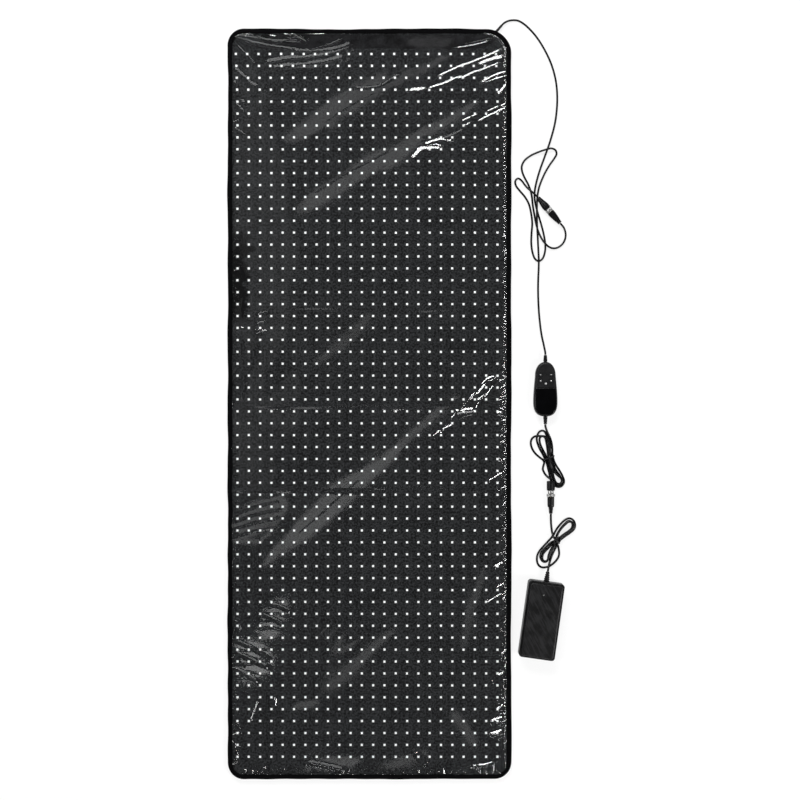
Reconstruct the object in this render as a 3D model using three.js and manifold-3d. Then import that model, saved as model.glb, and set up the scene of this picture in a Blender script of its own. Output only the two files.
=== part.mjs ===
// Light therapy mat: a flat padded LED mat under a clear film, its corded controller and its power supply.
// Units are millimetres. +Z is up and the mat lies on Z = 0. Its long side runs along Y, and its lead leaves
// the +Y end.
import * as THREE from 'three';
import { mergeVertices } from 'three/addons/utils/BufferGeometryUtils.js';
import Module from 'manifold-3d';

const wasm = await Module();
wasm.setup();

// ---------- driving dimensions ----------
const TOUCH_GAP = 0.3; // clearance kept between pieces that touch
const SPARE = 5; // how far a cutter runs past what it cuts

// mat
const MAT_WIDTH = 605;
const MAT_LENGTH = 1600;
const FOLD_Y = -3; // the crease between two LED rows where the mat folds in half
const MAT_CORNER_RADIUS = 36;
const LEAD_CORNER_RADIUS = 52;
const BACKING_TOP = 1.4;
const FOAM_BOTTOM = 1.7;
const FOAM_TOP = 7;
const BOARD_BOTTOM = 7.3;
const BOARD_TOP = 8.1;
const FILM_BOTTOM = 10;
const FILM_TOP = 10.4;
const BINDING_TOP = 11.7;
const BINDING_FLANGE_BOTTOM = 10.7;
const BINDING_WIDTH = 12;
const BINDING_WALL = 1.2;
const LAYER_INSET = 1.5; // foam and film stop just inside the binding's wall

// LED boards: four strips of six columns, thirty rows in each half
const BOARD_COUNT = 4;
const LED_COLUMN_PITCH = 24.1;
const LED_ROW_PITCH = 25.4;
const COLUMNS_PER_BOARD = 6;
const ROWS_PER_HALF = 30;
const LED_CENTRE_X = -4.3;

// leads
const THIN_LEAD = 4.4; // from the mat to the controller
const THICK_LEAD = 4.8; // from the controller to the power supply
const LEAD_GAP = 0.5; // between a lead's end and the piece it goes into
const LEAD_SIDES = 8;
const GROMMET_START = [259.5, 782]; // inner end of the grommet in the mat's corner
const GROMMET_LENGTH = 34.5;
const GROMMET_ANGLE = 49; // degrees from +X
const GROMMET_HEIGHT = 6;
const WIRE_DIAMETER = 2;
const WIRE_HEIGHT = 8.4;

// in-line connectors
const CONNECTOR_HEIGHT = 9.6; // height of both connectors' axes
const MAT_CONNECTOR = {
  name: 'mat_connector',
  start: [359, 440],
  turn: -49, // degrees from +X
  socket: [[0, 3.6], [1, 4.5], [6, 5.0], [14, 6.4], [25, 8.0], [30, 8.0], [31, 7.4]],
  neck: 0.3,
  barrelRadius: 6.2,
  nut: 9.4,
  nutRadius: 7.6,
  plug: [[0, 7.2], [1, 7.7], [8, 7.5], [24, 5.4], [30, 4.8], [31, 4.2]],
};
const SUPPLY_CONNECTOR = {
  name: 'supply_connector',
  start: [386.5, -164],
  turn: -90,
  socket: [[0, 7.6], [1.2, 8.8], [18, 8.8], [20.6, 7.6]],
  neck: 7.3,
  barrelRadius: 6.8,
  nut: 5.4,
  nutRadius: 9.2,
  plug: [[0, 6.9], [1, 7.4], [16, 7.3], [21, 6.9], [24.4, 4.9], [34, 4.2], [36, 3.6]],
};
const PIN_RADIUS = 1;
const PIN_SPACING = 5;

// controller
const CONTROLLER_CENTRE = [374.7, 31.7];
const CONTROLLER_HALF_LENGTH = 58.4;
const CONTROLLER_HEIGHT = 22;
const CONTROLLER_PARTING = 12;
const CONTROLLER_EDGE = 4; // radius of the rounded rim
const CONTROLLER_WALL = 2.2;
const CONTROLLER_FLOOR = 2.5;
const WINDOW_INSET = 4.6;
const WINDOW_TOP_Y = 2.8;
const WINDOW_DEPTH = 1.4;
const LEAD_AXIS_IN_CONTROLLER = 11;
const BUTTON_RADIUS = 4.6;
const BUTTON_CLEARANCE = 0.4;
const BUTTON_PLACES = [[-11.2, 30.4], [11.2, 30.4], [-11.2, 17.6], [11.2, 17.6], [0, 11.8]];

// power supply
const SUPPLY_CENTRE = [365.5, -459];
const SUPPLY_TURN = -8; // degrees about +Z
const SUPPLY_WIDTH = 77;
const SUPPLY_LENGTH = 164;
const SUPPLY_BASE_HEIGHT = 30;
const SUPPLY_HEIGHT = 38;
const SUPPLY_CORNER = 7;
const SUPPLY_WALL = 2.4;
const SUPPLY_LIP = 7;
const SUPPLY_STEP = 4.5;
const RELIEF_HEIGHT = 12;
const INLET_WIDTH = 27.4;
const INLET_HEIGHT = 20.4;
const INLET_DEPTH = 20;
const INLET_Z = 15;
const INDICATOR_PLACE = [-5, 55];
const INDICATOR_RADIUS = 1.5;

// hanks of spare lead
const HANK_BOTTOM = 1.5;
const HANK_TOP = 12.6;

// ---------- materials ----------
const paint = (color, roughness, metalness = 0) =>
  new THREE.MeshStandardMaterial({ color, roughness, metalness });
const FABRIC = paint(0x17181a, 0.9);
const FOAM = paint(0x2a2a2c, 0.95);
const LED_BOARD = paint(0x2b2d2f, 0.6);
const FILM = paint(0xc8d0d2, 0.08);
const BINDING = paint(0x0d0d0e, 0.8);
const LEAD_JACKET = paint(0x0b0b0c, 0.4);
const RED_WIRE = paint(0xa01b1b, 0.5);
const MOULDED_BLACK = paint(0x121213, 0.45);
const PLATED_METAL = paint(0xd8d8d4, 0.2, 1);
const CONTACT_METAL = paint(0xc9a45c, 0.3, 1);
const CASE_BLACK = paint(0x222224, 0.5);
const WINDOW_BLACK = paint(0x050506, 0.08);
const BUTTON_GREY = paint(0x2c2c2e, 0.5);
const CIRCUIT_GREEN = paint(0x1f5a34, 0.5);
const FERRITE = paint(0x3a342c, 0.7);
const SLEEVE_BLUE = paint(0x24303e, 0.4);
const LENS_GREEN = paint(0x59c27a, 0.3);

// ---------- geometry helpers ----------
function toSolid(geometry) {
  const bare = geometry.clone();
  bare.deleteAttribute('normal');
  bare.deleteAttribute('uv');
  const merged = mergeVertices(bare, 1e-4);
  return new wasm.Manifold(new wasm.Mesh({
    numProp: 3,
    vertProperties: new Float32Array(merged.attributes.position.array),
    triVerts: new Uint32Array(merged.index.array),
  }));
}

function toGeometry(solid) {
  const { vertProperties, triVerts } = solid.getMesh();
  const geometry = new THREE.BufferGeometry();
  geometry.setAttribute('position', new THREE.BufferAttribute(new Float32Array(vertProperties), 3));
  geometry.setIndex(new THREE.BufferAttribute(new Uint32Array(triVerts), 1));
  return geometry;
}

function place(name, shape, material, parent) {
  const geometry = shape.isBufferGeometry ? shape : toGeometry(shape);
  const mesh = new THREE.Mesh(geometry, material);
  mesh.name = name;
  parent.add(mesh);
  return mesh;
}

function slab(shape, bottom, top, curveSegments = 8) {
  const settings = { depth: top - bottom, bevelEnabled: false, curveSegments };
  const geometry = new THREE.ExtrudeGeometry(shape, settings);
  return geometry.translate(0, 0, bottom);
}

function block(x, y, z, width, length, height) {
  return new THREE.BoxGeometry(width, length, height).translate(x, y, z + height / 2);
}

// A closed body of revolution about Y from [distance along the axis, radius] pairs.
function turned(profile, segments = 16) {
  const points = profile.map(([along, radius]) => new THREE.Vector2(radius, along));
  points.unshift(new THREE.Vector2(0, profile[0][0]));
  points.push(new THREE.Vector2(0, profile.at(-1)[0]));
  return new THREE.LatheGeometry(points, segments);
}

function rod(from, to, radius, segments = 16) {
  return turned([[from, radius], [to, radius]], segments);
}

// A closed ring about Y between two radii.
function ring(from, to, inner, outer, segments = 16) {
  const corners = [[inner, from], [outer, from], [outer, to], [inner, to], [inner, from]];
  return new THREE.LatheGeometry(corners.map(([r, y]) => new THREE.Vector2(r, y)), segments);
}

function tube(points, diameter, steps, sides = LEAD_SIDES) {
  const stops = points.map((point) => new THREE.Vector3(...point));
  const path = new THREE.CatmullRomCurve3(stops, false, 'centripetal');
  const section = new THREE.Shape();
  for (let side = 0; side < sides; side++) {
    const angle = (2 * Math.PI * (side + 0.5)) / sides;
    const [x, y] = [Math.cos(angle) * diameter / 2, Math.sin(angle) * diameter / 2];
    side ? section.lineTo(x, y) : section.moveTo(x, y);
  }
  section.closePath();
  return new THREE.ExtrudeGeometry(section, { steps, extrudePath: path, bevelEnabled: false });
}

function roundedRectangle(width, length, radius) {
  const [x, y] = [width / 2, length / 2];
  const shape = new THREE.Shape();
  shape.moveTo(-x + radius, -y);
  shape.lineTo(x - radius, -y);
  shape.absarc(x - radius, -y + radius, radius, -Math.PI / 2, 0);
  shape.lineTo(x, y - radius);
  shape.absarc(x - radius, y - radius, radius, 0, Math.PI / 2);
  shape.lineTo(-x + radius, y);
  shape.absarc(-x + radius, y - radius, radius, Math.PI / 2, Math.PI);
  shape.lineTo(-x, -y + radius);
  shape.absarc(-x + radius, -y + radius, radius, Math.PI, 1.5 * Math.PI);
  return shape;
}

// A group whose +Y axis points from start along a heading in the XY plane.
function axisGroup([x, y], heading, height) {
  const group = new THREE.Group();
  group.position.set(x, y, height);
  group.rotation.z = THREE.MathUtils.degToRad(heading - 90);
  return group;
}

function pointAlong([x, y], heading, distance) {
  const angle = THREE.MathUtils.degToRad(heading);
  return [x + distance * Math.cos(angle), y + distance * Math.sin(angle)];
}

const object = new THREE.Group();

// ---------- mat ----------
// Outline of one half of the mat, inset from its edge. end is 1 for the head half and -1 for the foot half.
function halfOutline(end, inset, overrun = 0) {
  const side = MAT_WIDTH / 2 - inset;
  const far = end * (MAT_LENGTH / 2 - inset);
  const near = FOLD_Y + end * (TOUCH_GAP / 2 - overrun);
  const left = MAT_CORNER_RADIUS - inset;
  const right = (end > 0 ? LEAD_CORNER_RADIUS : MAT_CORNER_RADIUS) - inset;
  const shape = new THREE.Shape();
  shape.moveTo(-side, near);
  shape.lineTo(-side, far - end * left);
  shape.absarc(-side + left, far - end * left, left, Math.PI, end * Math.PI / 2, end > 0);
  shape.lineTo(side - right, far);
  shape.absarc(side - right, far - end * right, right, end * Math.PI / 2, 0, end > 0);
  shape.lineTo(side, near);
  shape.closePath();
  return shape;
}

// The edge tape: a C section that wraps the backing side, the edge and the film side.
function bindingSolid(end) {
  const whole = toSolid(slab(halfOutline(end, 0), 0, BINDING_TOP));
  const middle = toSolid(slab(halfOutline(end, BINDING_WALL, SPARE), BACKING_TOP, BINDING_FLANGE_BOTTOM));
  const inside = toSolid(slab(halfOutline(end, BINDING_WIDTH, SPARE), -SPARE, BINDING_TOP + SPARE));
  return whole.subtract(middle).subtract(inside);
}

function ledBoard(end, index) {
  const width = COLUMNS_PER_BOARD * LED_COLUMN_PITCH;
  const length = ROWS_PER_HALF * LED_ROW_PITCH - TOUCH_GAP / 2;
  const x = LED_CENTRE_X + (index - (BOARD_COUNT - 1) / 2) * width;
  const y = FOLD_Y + end * (TOUCH_GAP / 2 + length / 2);
  return block(x, y, BOARD_BOTTOM, width - 2 * TOUCH_GAP, length, BOARD_TOP - BOARD_BOTTOM);
}

// A rod along the grommet's axis, in the mat's own frame, used to clear its way.
function grommetWay(radius) {
  const way = rod(-SPARE, GROMMET_LENGTH + SPARE, radius);
  way.rotateZ(THREE.MathUtils.degToRad(GROMMET_ANGLE - 90));
  return toSolid(way.translate(...GROMMET_START, GROMMET_HEIGHT));
}

function buildMatHalf(prefix, end) {
  const half = new THREE.Group();
  let foam = toSolid(slab(halfOutline(end, LAYER_INSET), FOAM_BOTTOM, FOAM_TOP));
  let binding = bindingSolid(end);
  if (end > 0) {
    foam = foam.subtract(grommetWay(3.9));
    binding = binding.subtract(grommetWay(3.9));
  }
  const backingInset = BINDING_WIDTH + TOUCH_GAP;
  place(`${prefix}_backing`, slab(halfOutline(end, backingInset), 0, BACKING_TOP), FABRIC, half);
  place(`${prefix}_foam`, foam, FOAM, half);
  for (let index = 0; index < BOARD_COUNT; index++) {
    place(`${prefix}_led_board_${index + 1}`, ledBoard(end, index), LED_BOARD, half);
  }
  place(`${prefix}_film`, slab(halfOutline(end, LAYER_INSET), FILM_BOTTOM, FILM_TOP), FILM, half);
  place(`${prefix}_binding`, binding, BINDING, half);
  return half;
}

// Two wires run along the head end of the boards and turn into the grommet.
function buildBusWires(parent) {
  const wires = [
    ['bus_wire_positive', RED_WIRE, 775, 1.3],
    ['bus_wire_negative', LEAD_JACKET, 769, -1.3],
  ];
  for (const [name, material, y, aside] of wires) {
    const across = GROMMET_ANGLE + 90;
    const start = pointAlong(GROMMET_START, across, aside);
    const end = pointAlong(start, GROMMET_ANGLE, -TOUCH_GAP);
    const before = pointAlong(start, GROMMET_ANGLE, -8);
    const route = [
      [-215, y, WIRE_HEIGHT],
      [0, y, WIRE_HEIGHT],
      [200, y, WIRE_HEIGHT],
      [238, y - aside, WIRE_HEIGHT],
      [...before, WIRE_HEIGHT],
      [...end, WIRE_HEIGHT - 0.2],
    ];
    place(name, tube(route, WIRE_DIAMETER, 24, 6), material, parent);
  }
}

function buildGrommet(parent) {
  const group = axisGroup(GROMMET_START, GROMMET_ANGLE, GROMMET_HEIGHT);
  const profile = [[0, 3.4], [17, 3.4], [18.5, 2.9], [33, 2.6], [GROMMET_LENGTH, 2.2]];
  place('lead_grommet', turned(profile, 12), MOULDED_BLACK, group);
  parent.add(group);
}

object.add(buildMatHalf('head', 1));
object.add(buildMatHalf('foot', -1));
buildBusWires(object);
buildGrommet(object);

// ---------- in-line connectors ----------
// The socket ends in a plated barrel. The plug's coupling nut turns over that barrel.
function buildConnector(c, parent) {
  const group = axisGroup(c.start, c.turn, CONNECTOR_HEIGHT);
  const face = c.socket.at(-1)[0];
  const barrelEnd = face + c.neck + 3;
  const barrelBore = c.barrelRadius - 1;
  const insertRadius = barrelBore - TOUCH_GAP;
  const nutStart = face + Math.max(c.neck, TOUCH_GAP);
  const nutEnd = nutStart + c.nut;
  const plugStart = nutEnd + TOUCH_GAP;
  const pinFace = barrelEnd + TOUCH_GAP;
  const seat = 6; // how deep the barrel and the plug's insert sit in their bodies

  const socketBore = toSolid(rod(face - seat - TOUCH_GAP, face + SPARE, c.barrelRadius + 0.05));
  const insertBore = toSolid(rod(face - seat - 4, face + SPARE, insertRadius + TOUCH_GAP));
  const socket = toSolid(turned(c.socket)).subtract(socketBore).subtract(insertBore);
  place(`${c.name}_socket`, socket, MOULDED_BLACK, group);
  const barrel = ring(face - seat, barrelEnd, barrelBore, c.barrelRadius - TOUCH_GAP);
  place(`${c.name}_barrel`, barrel, PLATED_METAL, group);

  const insert = toSolid(rod(face - seat - 3.6, barrelEnd - 0.5, insertRadius));
  const pinFrom = barrelEnd - 6.5;
  const pinTo = nutEnd + 3;
  let holes = insert;
  let contacts = toSolid(rod(pinFace, plugStart + seat - TOUCH_GAP, insertRadius));
  for (const side of [-1, 1]) {
    const x = side * PIN_SPACING / 2;
    const hole = rod(pinFrom - 1, barrelEnd + SPARE, PIN_RADIUS + TOUCH_GAP, 10);
    const pin = rod(pinFrom, pinTo, PIN_RADIUS, 10);
    holes = holes.subtract(toSolid(hole.translate(x, 0, 0)));
    contacts = contacts.add(toSolid(pin.translate(x, 0, 0)));
  }
  place(`${c.name}_insert`, holes, MOULDED_BLACK, group);
  place(`${c.name}_contacts`, contacts, CONTACT_METAL, group);

  // grip flats are cut round the nut
  const grips = 12;
  let nut = toSolid(ring(nutStart, nutEnd, c.barrelRadius + 0.1, c.nutRadius, 24));
  for (let grip = 0; grip < grips; grip++) {
    const notch = block(c.nutRadius + 0.1, (nutStart + nutEnd) / 2, -0.5, 0.7, c.nut - 1.6, 1);
    notch.rotateY((2 * Math.PI * grip) / grips);
    nut = nut.subtract(toSolid(notch));
  }
  place(`${c.name}_nut`, nut, PLATED_METAL, group);

  const plugBore = toSolid(rod(plugStart - SPARE, plugStart + seat, insertRadius + TOUCH_GAP));
  const plug = toSolid(turned(c.plug.map(([along, radius]) => [along + plugStart, radius])));
  place(`${c.name}_plug`, plug.subtract(plugBore), MOULDED_BLACK, group);
  parent.add(group);
  return plugStart + c.plug.at(-1)[0];
}

const matConnectorLength = buildConnector(MAT_CONNECTOR, object);
const supplyConnectorLength = buildConnector(SUPPLY_CONNECTOR, object);

// ---------- thin leads ----------
// From the mat's corner, round one long loop, back through the twist and over it into the socket.
const MAT_LEAD_ROUTE = [
  [...pointAlong(GROMMET_START, GROMMET_ANGLE, GROMMET_LENGTH + LEAD_GAP), GROMMET_HEIGHT],
  [...pointAlong(GROMMET_START, GROMMET_ANGLE, GROMMET_LENGTH + 3), GROMMET_HEIGHT],
  [290, 815, 5], [297.5, 818.5, 3.4], [307, 820, 2.4], [317, 819, 2.4], [329, 812.5, 2.4],
  [343, 800, 2.4], [359, 781, 2.4], [376, 753, 2.4], [389, 724, 2.4], [398, 690, 2.4],
  [401, 652, 2.4], [397, 605, 2.4], [386, 562, 2.4], [373, 525, 2.4], [365, 503, 2.4],
  [357.5, 478, 2.4], [353, 456, 2.4], [352.5, 441, 2.4], [354.5, 427, 2.4], [360, 406, 2.4],
  [367.5, 381, 2.4], [373, 358, 2.4], [375.5, 340, 2.4], [374.5, 324, 2.4], [369.5, 310.5, 2.4],
  [361.5, 305, 2.4], [353.5, 310, 2.4], [348, 324, 2.4], [345.5, 343, 2.4], [346, 364, 2.4],
  [347.5, 386, 2.4], [345, 408, 2.4], [340, 428, 2.4], [331.5, 443, 2.4], [320.5, 456, 2.4],
  [312.5, 467, 2.4], [311.5, 477, 2.4], [317.5, 482, 2.4], [325, 477, 2.4], [332, 467.5, 3.2],
  [339, 459, 6.6], [346.5, 452.5, 8.6],
  [...pointAlong(MAT_CONNECTOR.start, MAT_CONNECTOR.turn, -4), CONNECTOR_HEIGHT],
  [...pointAlong(MAT_CONNECTOR.start, MAT_CONNECTOR.turn, -LEAD_GAP), CONNECTOR_HEIGHT],
];
// From the plug, back under the twist, round the upper loop and straight down to the controller.
const CONTROLLER_LEAD_ROUTE = [
  [...pointAlong(MAT_CONNECTOR.start, MAT_CONNECTOR.turn, matConnectorLength + LEAD_GAP), CONNECTOR_HEIGHT],
  [...pointAlong(MAT_CONNECTOR.start, MAT_CONNECTOR.turn, matConnectorLength + 4), CONNECTOR_HEIGHT],
  [414, 377, 7.4], [417.5, 370, 4.2], [419, 359.5, 2.4], [416.5, 349, 2.4], [410.5, 340, 2.4],
  [401.5, 334, 2.4], [392.5, 332.5, 3.2], [383.5, 335, 6.2], [376, 341, 7.4], [369.5, 349.5, 6],
  [364.5, 359, 3.4], [360, 370, 2.4], [355.5, 386, 2.4], [352, 405, 2.4], [348.5, 426, 2.4],
  [347, 441, 2.4], [344.5, 454, 2.4], [339, 469, 2.4], [331.5, 483, 2.4], [326.5, 495, 2.4],
  [325, 507, 2.4], [330.5, 519.5, 2.4], [344, 530.5, 2.4], [361, 538, 4.6], [377, 543, 7.4],
  [389, 545.5, 5.6], [397.5, 542, 2.8], [399.5, 534, 2.4], [394.5, 524.5, 2.4], [385, 511, 2.4],
  [376, 496, 2.4], [368.5, 480, 2.4], [362.5, 464, 2.4], [359.5, 450, 2.4], [358.2, 439, 2.6],
  [357.3, 428, 6.6], [357, 414, 7.4], [357, 398, 7.4], [357.5, 380, 7.4], [358.5, 360, 7.4],
  [359.5, 340, 7.4], [360.5, 320, 7.4], [361, 305, 7.4], [361, 290, 5.4], [360.5, 272, 2.6],
  [360, 250, 2.4], [360.5, 221, 2.4], [362.5, 188, 2.4], [367, 150, 3], [372, 124, 7.6],
  [374.6, CONTROLLER_CENTRE[1] + CONTROLLER_HALF_LENGTH + 19, LEAD_AXIS_IN_CONTROLLER],
  [374.7, CONTROLLER_CENTRE[1] + CONTROLLER_HALF_LENGTH + 14.2 + LEAD_GAP, LEAD_AXIS_IN_CONTROLLER],
];
place('mat_lead', tube(MAT_LEAD_ROUTE, THIN_LEAD, 96), LEAD_JACKET, object);
place('controller_lead', tube(CONTROLLER_LEAD_ROUTE, THIN_LEAD, 90), LEAD_JACKET, object);

// ---------- controller ----------
// Egg-shaped outline about the controller's centre, wider towards the foot end.
function controllerOutline(inset) {
  const [top, bottom] = [CONTROLLER_HALF_LENGTH - inset, -CONTROLLER_HALF_LENGTH + inset];
  const [shoulder, hip] = [21.6 - inset, 25.5 - inset];
  const shape = new THREE.Shape();
  shape.moveTo(0, top);
  shape.bezierCurveTo(-12, top, -shoulder, 46, -shoulder, 30);
  shape.bezierCurveTo(-shoulder - 1.2, 12, -hip, -6, -hip, -28);
  shape.bezierCurveTo(-hip, -49, -17, bottom, 0, bottom);
  shape.bezierCurveTo(17, bottom, hip, -49, hip, -28);
  shape.bezierCurveTo(hip, -6, shoulder + 1.2, 12, shoulder, 30);
  shape.bezierCurveTo(shoulder, 46, 12, top, 0, top);
  return shape;
}

function controllerBlank() {
  const geometry = new THREE.ExtrudeGeometry(controllerOutline(CONTROLLER_EDGE), {
    depth: CONTROLLER_HEIGHT - 2 * CONTROLLER_EDGE,
    bevelThickness: CONTROLLER_EDGE,
    bevelSize: CONTROLLER_EDGE,
    bevelSegments: 3,
    curveSegments: 6,
  });
  return toSolid(geometry.translate(0, 0, CONTROLLER_EDGE));
}

function windowSolid(inset, bottom, top) {
  const outline = toSolid(slab(controllerOutline(inset), bottom, top, 6));
  const length = 2 * CONTROLLER_HALF_LENGTH;
  const edge = WINDOW_TOP_Y - (inset - WINDOW_INSET);
  const upper = block(0, edge + length / 2, bottom - 1, length, length, top - bottom + 2);
  return outline.subtract(toSolid(upper));
}

function controllerShells() {
  const roof = CONTROLLER_HEIGHT - CONTROLLER_FLOOR;
  const cavity = toSolid(slab(controllerOutline(CONTROLLER_WALL), CONTROLLER_FLOOR, roof, 6));
  let hollow = controllerBlank().subtract(cavity);
  hollow = hollow.subtract(toSolid(rod(-80, 80, 3.1, 12).translate(0, 0, LEAD_AXIS_IN_CONTROLLER)));
  const above = toSolid(block(0, 0, CONTROLLER_PARTING - TOUCH_GAP / 2, 100, 200, 40));
  const below = toSolid(block(0, 0, CONTROLLER_PARTING + TOUCH_GAP / 2 - 40, 100, 200, 40));
  let cover = hollow.subtract(below);
  const seat = windowSolid(WINDOW_INSET, CONTROLLER_HEIGHT - WINDOW_DEPTH, CONTROLLER_HEIGHT + SPARE);
  cover = cover.subtract(seat);
  cover = cover.subtract(toSolid(block(0, -24, roof - SPARE, 31, 39, 20)));
  for (const [x, y] of BUTTON_PLACES) {
    const hole = rod(roof - 1, CONTROLLER_HEIGHT + 1, BUTTON_RADIUS + BUTTON_CLEARANCE).rotateX(Math.PI / 2);
    cover = cover.subtract(toSolid(hole.translate(x, y, 0)));
  }
  return [hollow.subtract(above), cover];
}

// The circuit board carries a tactile switch under each button.
function controllerBoard() {
  const [bottom, top, switchTop] = [9.4, 11, 16.3];
  let board = toSolid(slab(controllerOutline(7), bottom, top, 5));
  for (const [x, y] of BUTTON_PLACES) {
    const plunger = rod(switchTop - 2, switchTop, 1.7, 10).rotateX(Math.PI / 2);
    board = board.add(toSolid(block(x, y, top - 0.5, 6, 6, switchTop - top - 1)));
    board = board.add(toSolid(plunger.translate(x, y, 0)));
  }
  return board;
}

function controllerButton() {
  const flangeBottom = 17;
  const profile = [
    [flangeBottom, 5.6], [18.8, 5.6], [18.8, BUTTON_RADIUS], [22.3, BUTTON_RADIUS],
    [22.9, BUTTON_RADIUS - 0.8],
  ];
  return turned(profile).rotateX(Math.PI / 2);
}

// Ribbed boot: a flange inside the case, a neck through its wall and a tapering sleeve outside.
function bootProfile(length, thick, thin, ribs) {
  const profile = [[-6, 4.4], [-4, 4.4], [-4, 2.9], [0.3, 2.9], [0.3, thick]];
  for (let rib = 0; rib < ribs; rib++) {
    const radius = thick + ((thin - thick) * (rib + 1)) / (ribs + 1);
    const y = 0.3 + (length - 0.6) * ((rib + 0.6) / (ribs + 0.3));
    profile.push([y - 0.6, radius + 0.1], [y - 0.3, radius - 0.6]);
    profile.push([y + 0.3, radius - 0.6], [y + 0.6, radius]);
  }
  profile.push([length, thin]);
  return profile;
}

function buildController(parent) {
  const group = new THREE.Group();
  group.position.set(...CONTROLLER_CENTRE, 0);
  const [base, cover] = controllerShells();
  place('controller_base', base, CASE_BLACK, group);
  place('controller_cover', cover, CASE_BLACK, group);
  const glass = windowSolid(
    WINDOW_INSET + TOUCH_GAP, CONTROLLER_HEIGHT - WINDOW_DEPTH + TOUCH_GAP, CONTROLLER_HEIGHT + 0.2);
  place('controller_window', glass, WINDOW_BLACK, group);
  place('controller_board', controllerBoard(), CIRCUIT_GREEN, group);
  place('controller_display', block(0, -24, 11.3, 30, 38, 8.6), WINDOW_BLACK, group);
  BUTTON_PLACES.forEach(([x, y], index) => {
    place(`controller_button_${index + 1}`, controllerButton(), BUTTON_GREY, group).position.set(x, y, 0);
  });
  const boots = [
    ['controller_top_boot', 0, bootProfile(14.2, 4.1, 3.2, 0)],
    ['controller_foot_boot', 180, bootProfile(16.2, 4.8, 3.4, 3)],
  ];
  for (const [name, heading, profile] of boots) {
    const boot = place(name, turned(profile, 12), MOULDED_BLACK, group);
    boot.rotation.z = THREE.MathUtils.degToRad(heading);
    boot.position.set(0, (heading ? -1 : 1) * CONTROLLER_HALF_LENGTH, LEAD_AXIS_IN_CONTROLLER);
  }
  parent.add(group);
}

buildController(object);

// ---------- thick leads and their hanks ----------
function hank(outline) {
  const shape = new THREE.Shape();
  const points = outline.map(([x, y]) => new THREE.Vector3(x, y, 0));
  const loop = new THREE.CatmullRomCurve3(points, true, 'centripetal');
  loop.getPoints(48).slice(0, -1).forEach(({ x, y }, index) => {
    index ? shape.lineTo(x, y) : shape.moveTo(x, y);
  });
  shape.closePath();
  return slab(shape, HANK_BOTTOM, HANK_TOP);
}

// A flat tie pulled round the waist of a hank.
function buildTie(name, [x, y], heading, width, parent) {
  const group = axisGroup([x, y], heading, 0);
  const [low, high, thick] = [HANK_BOTTOM - TOUCH_GAP, HANK_TOP + TOUCH_GAP, 0.9];
  const outer = toSolid(block(0, 0, low - thick, width + 2 * thick, 4, high - low + 2 * thick));
  const inner = toSolid(block(0, 0, low, width, 4 + SPARE, high - low));
  place(name, outer.subtract(inner), MOULDED_BLACK, group);
  parent.add(group);
}

const UPPER_HANK_OUTLINE = [
  [360, -58], [370, -56.5], [381, -61], [389, -78], [392.5, -98], [393.5, -112], [400, -128], [411, -144],
  [416.5, -158], [415, -170], [407, -177.5], [400.5, -176], [398, -168], [396, -161], [388.5, -162.5],
  [377, -161], [369, -148], [368, -132], [372.5, -118], [359.5, -102.5], [346.5, -85], [343.5, -73],
  [350, -63],
];
const LOWER_HANK_OUTLINE = [
  [394, -271], [408, -254.5], [426, -243], [439, -247.5], [442.5, -262], [436, -276.5], [419.5, -289.5],
  [407.5, -301], [408, -317.5], [402, -334.5], [388, -347.5], [374, -352.5], [361, -348], [355, -336.5],
  [356.5, -318], [366, -303], [382, -286], [389, -277.5],
];
const CONTROLLER_FOOT = CONTROLLER_CENTRE[1] - CONTROLLER_HALF_LENGTH - 16.2;
const UPPER_SUPPLY_LEAD_ROUTE = [
  [374.7, CONTROLLER_FOOT - LEAD_GAP, LEAD_AXIS_IN_CONTROLLER],
  [374.7, -46.5, 10.8], [375.2, -51, 9.8], [375.4, -55.2, 9],
];
const LOWER_SUPPLY_LEAD_ROUTE = [
  [386.5, SUPPLY_CONNECTOR.start[1] - supplyConnectorLength - LEAD_GAP, CONNECTOR_HEIGHT],
  [386.5, -238, CONNECTOR_HEIGHT], [386.7, -244, 8.6], [387.3, -252, 7], [388.6, -262, 6.6],
  [390.3, -272.6, 7.4],
];
place('upper_supply_lead', tube(UPPER_SUPPLY_LEAD_ROUTE, THICK_LEAD, 4), LEAD_JACKET, object);
place('upper_supply_hank', hank(UPPER_HANK_OUTLINE), LEAD_JACKET, object);
buildTie('upper_hank_tie', [383, -114.5], -70, 26, object);
place('lower_supply_lead', tube(LOWER_SUPPLY_LEAD_ROUTE, THICK_LEAD, 8), LEAD_JACKET, object);
place('lower_supply_hank', hank(LOWER_HANK_OUTLINE), LEAD_JACKET, object);
buildTie('lower_hank_tie', [395.5, -288.5], 48, 38, object);

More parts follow.
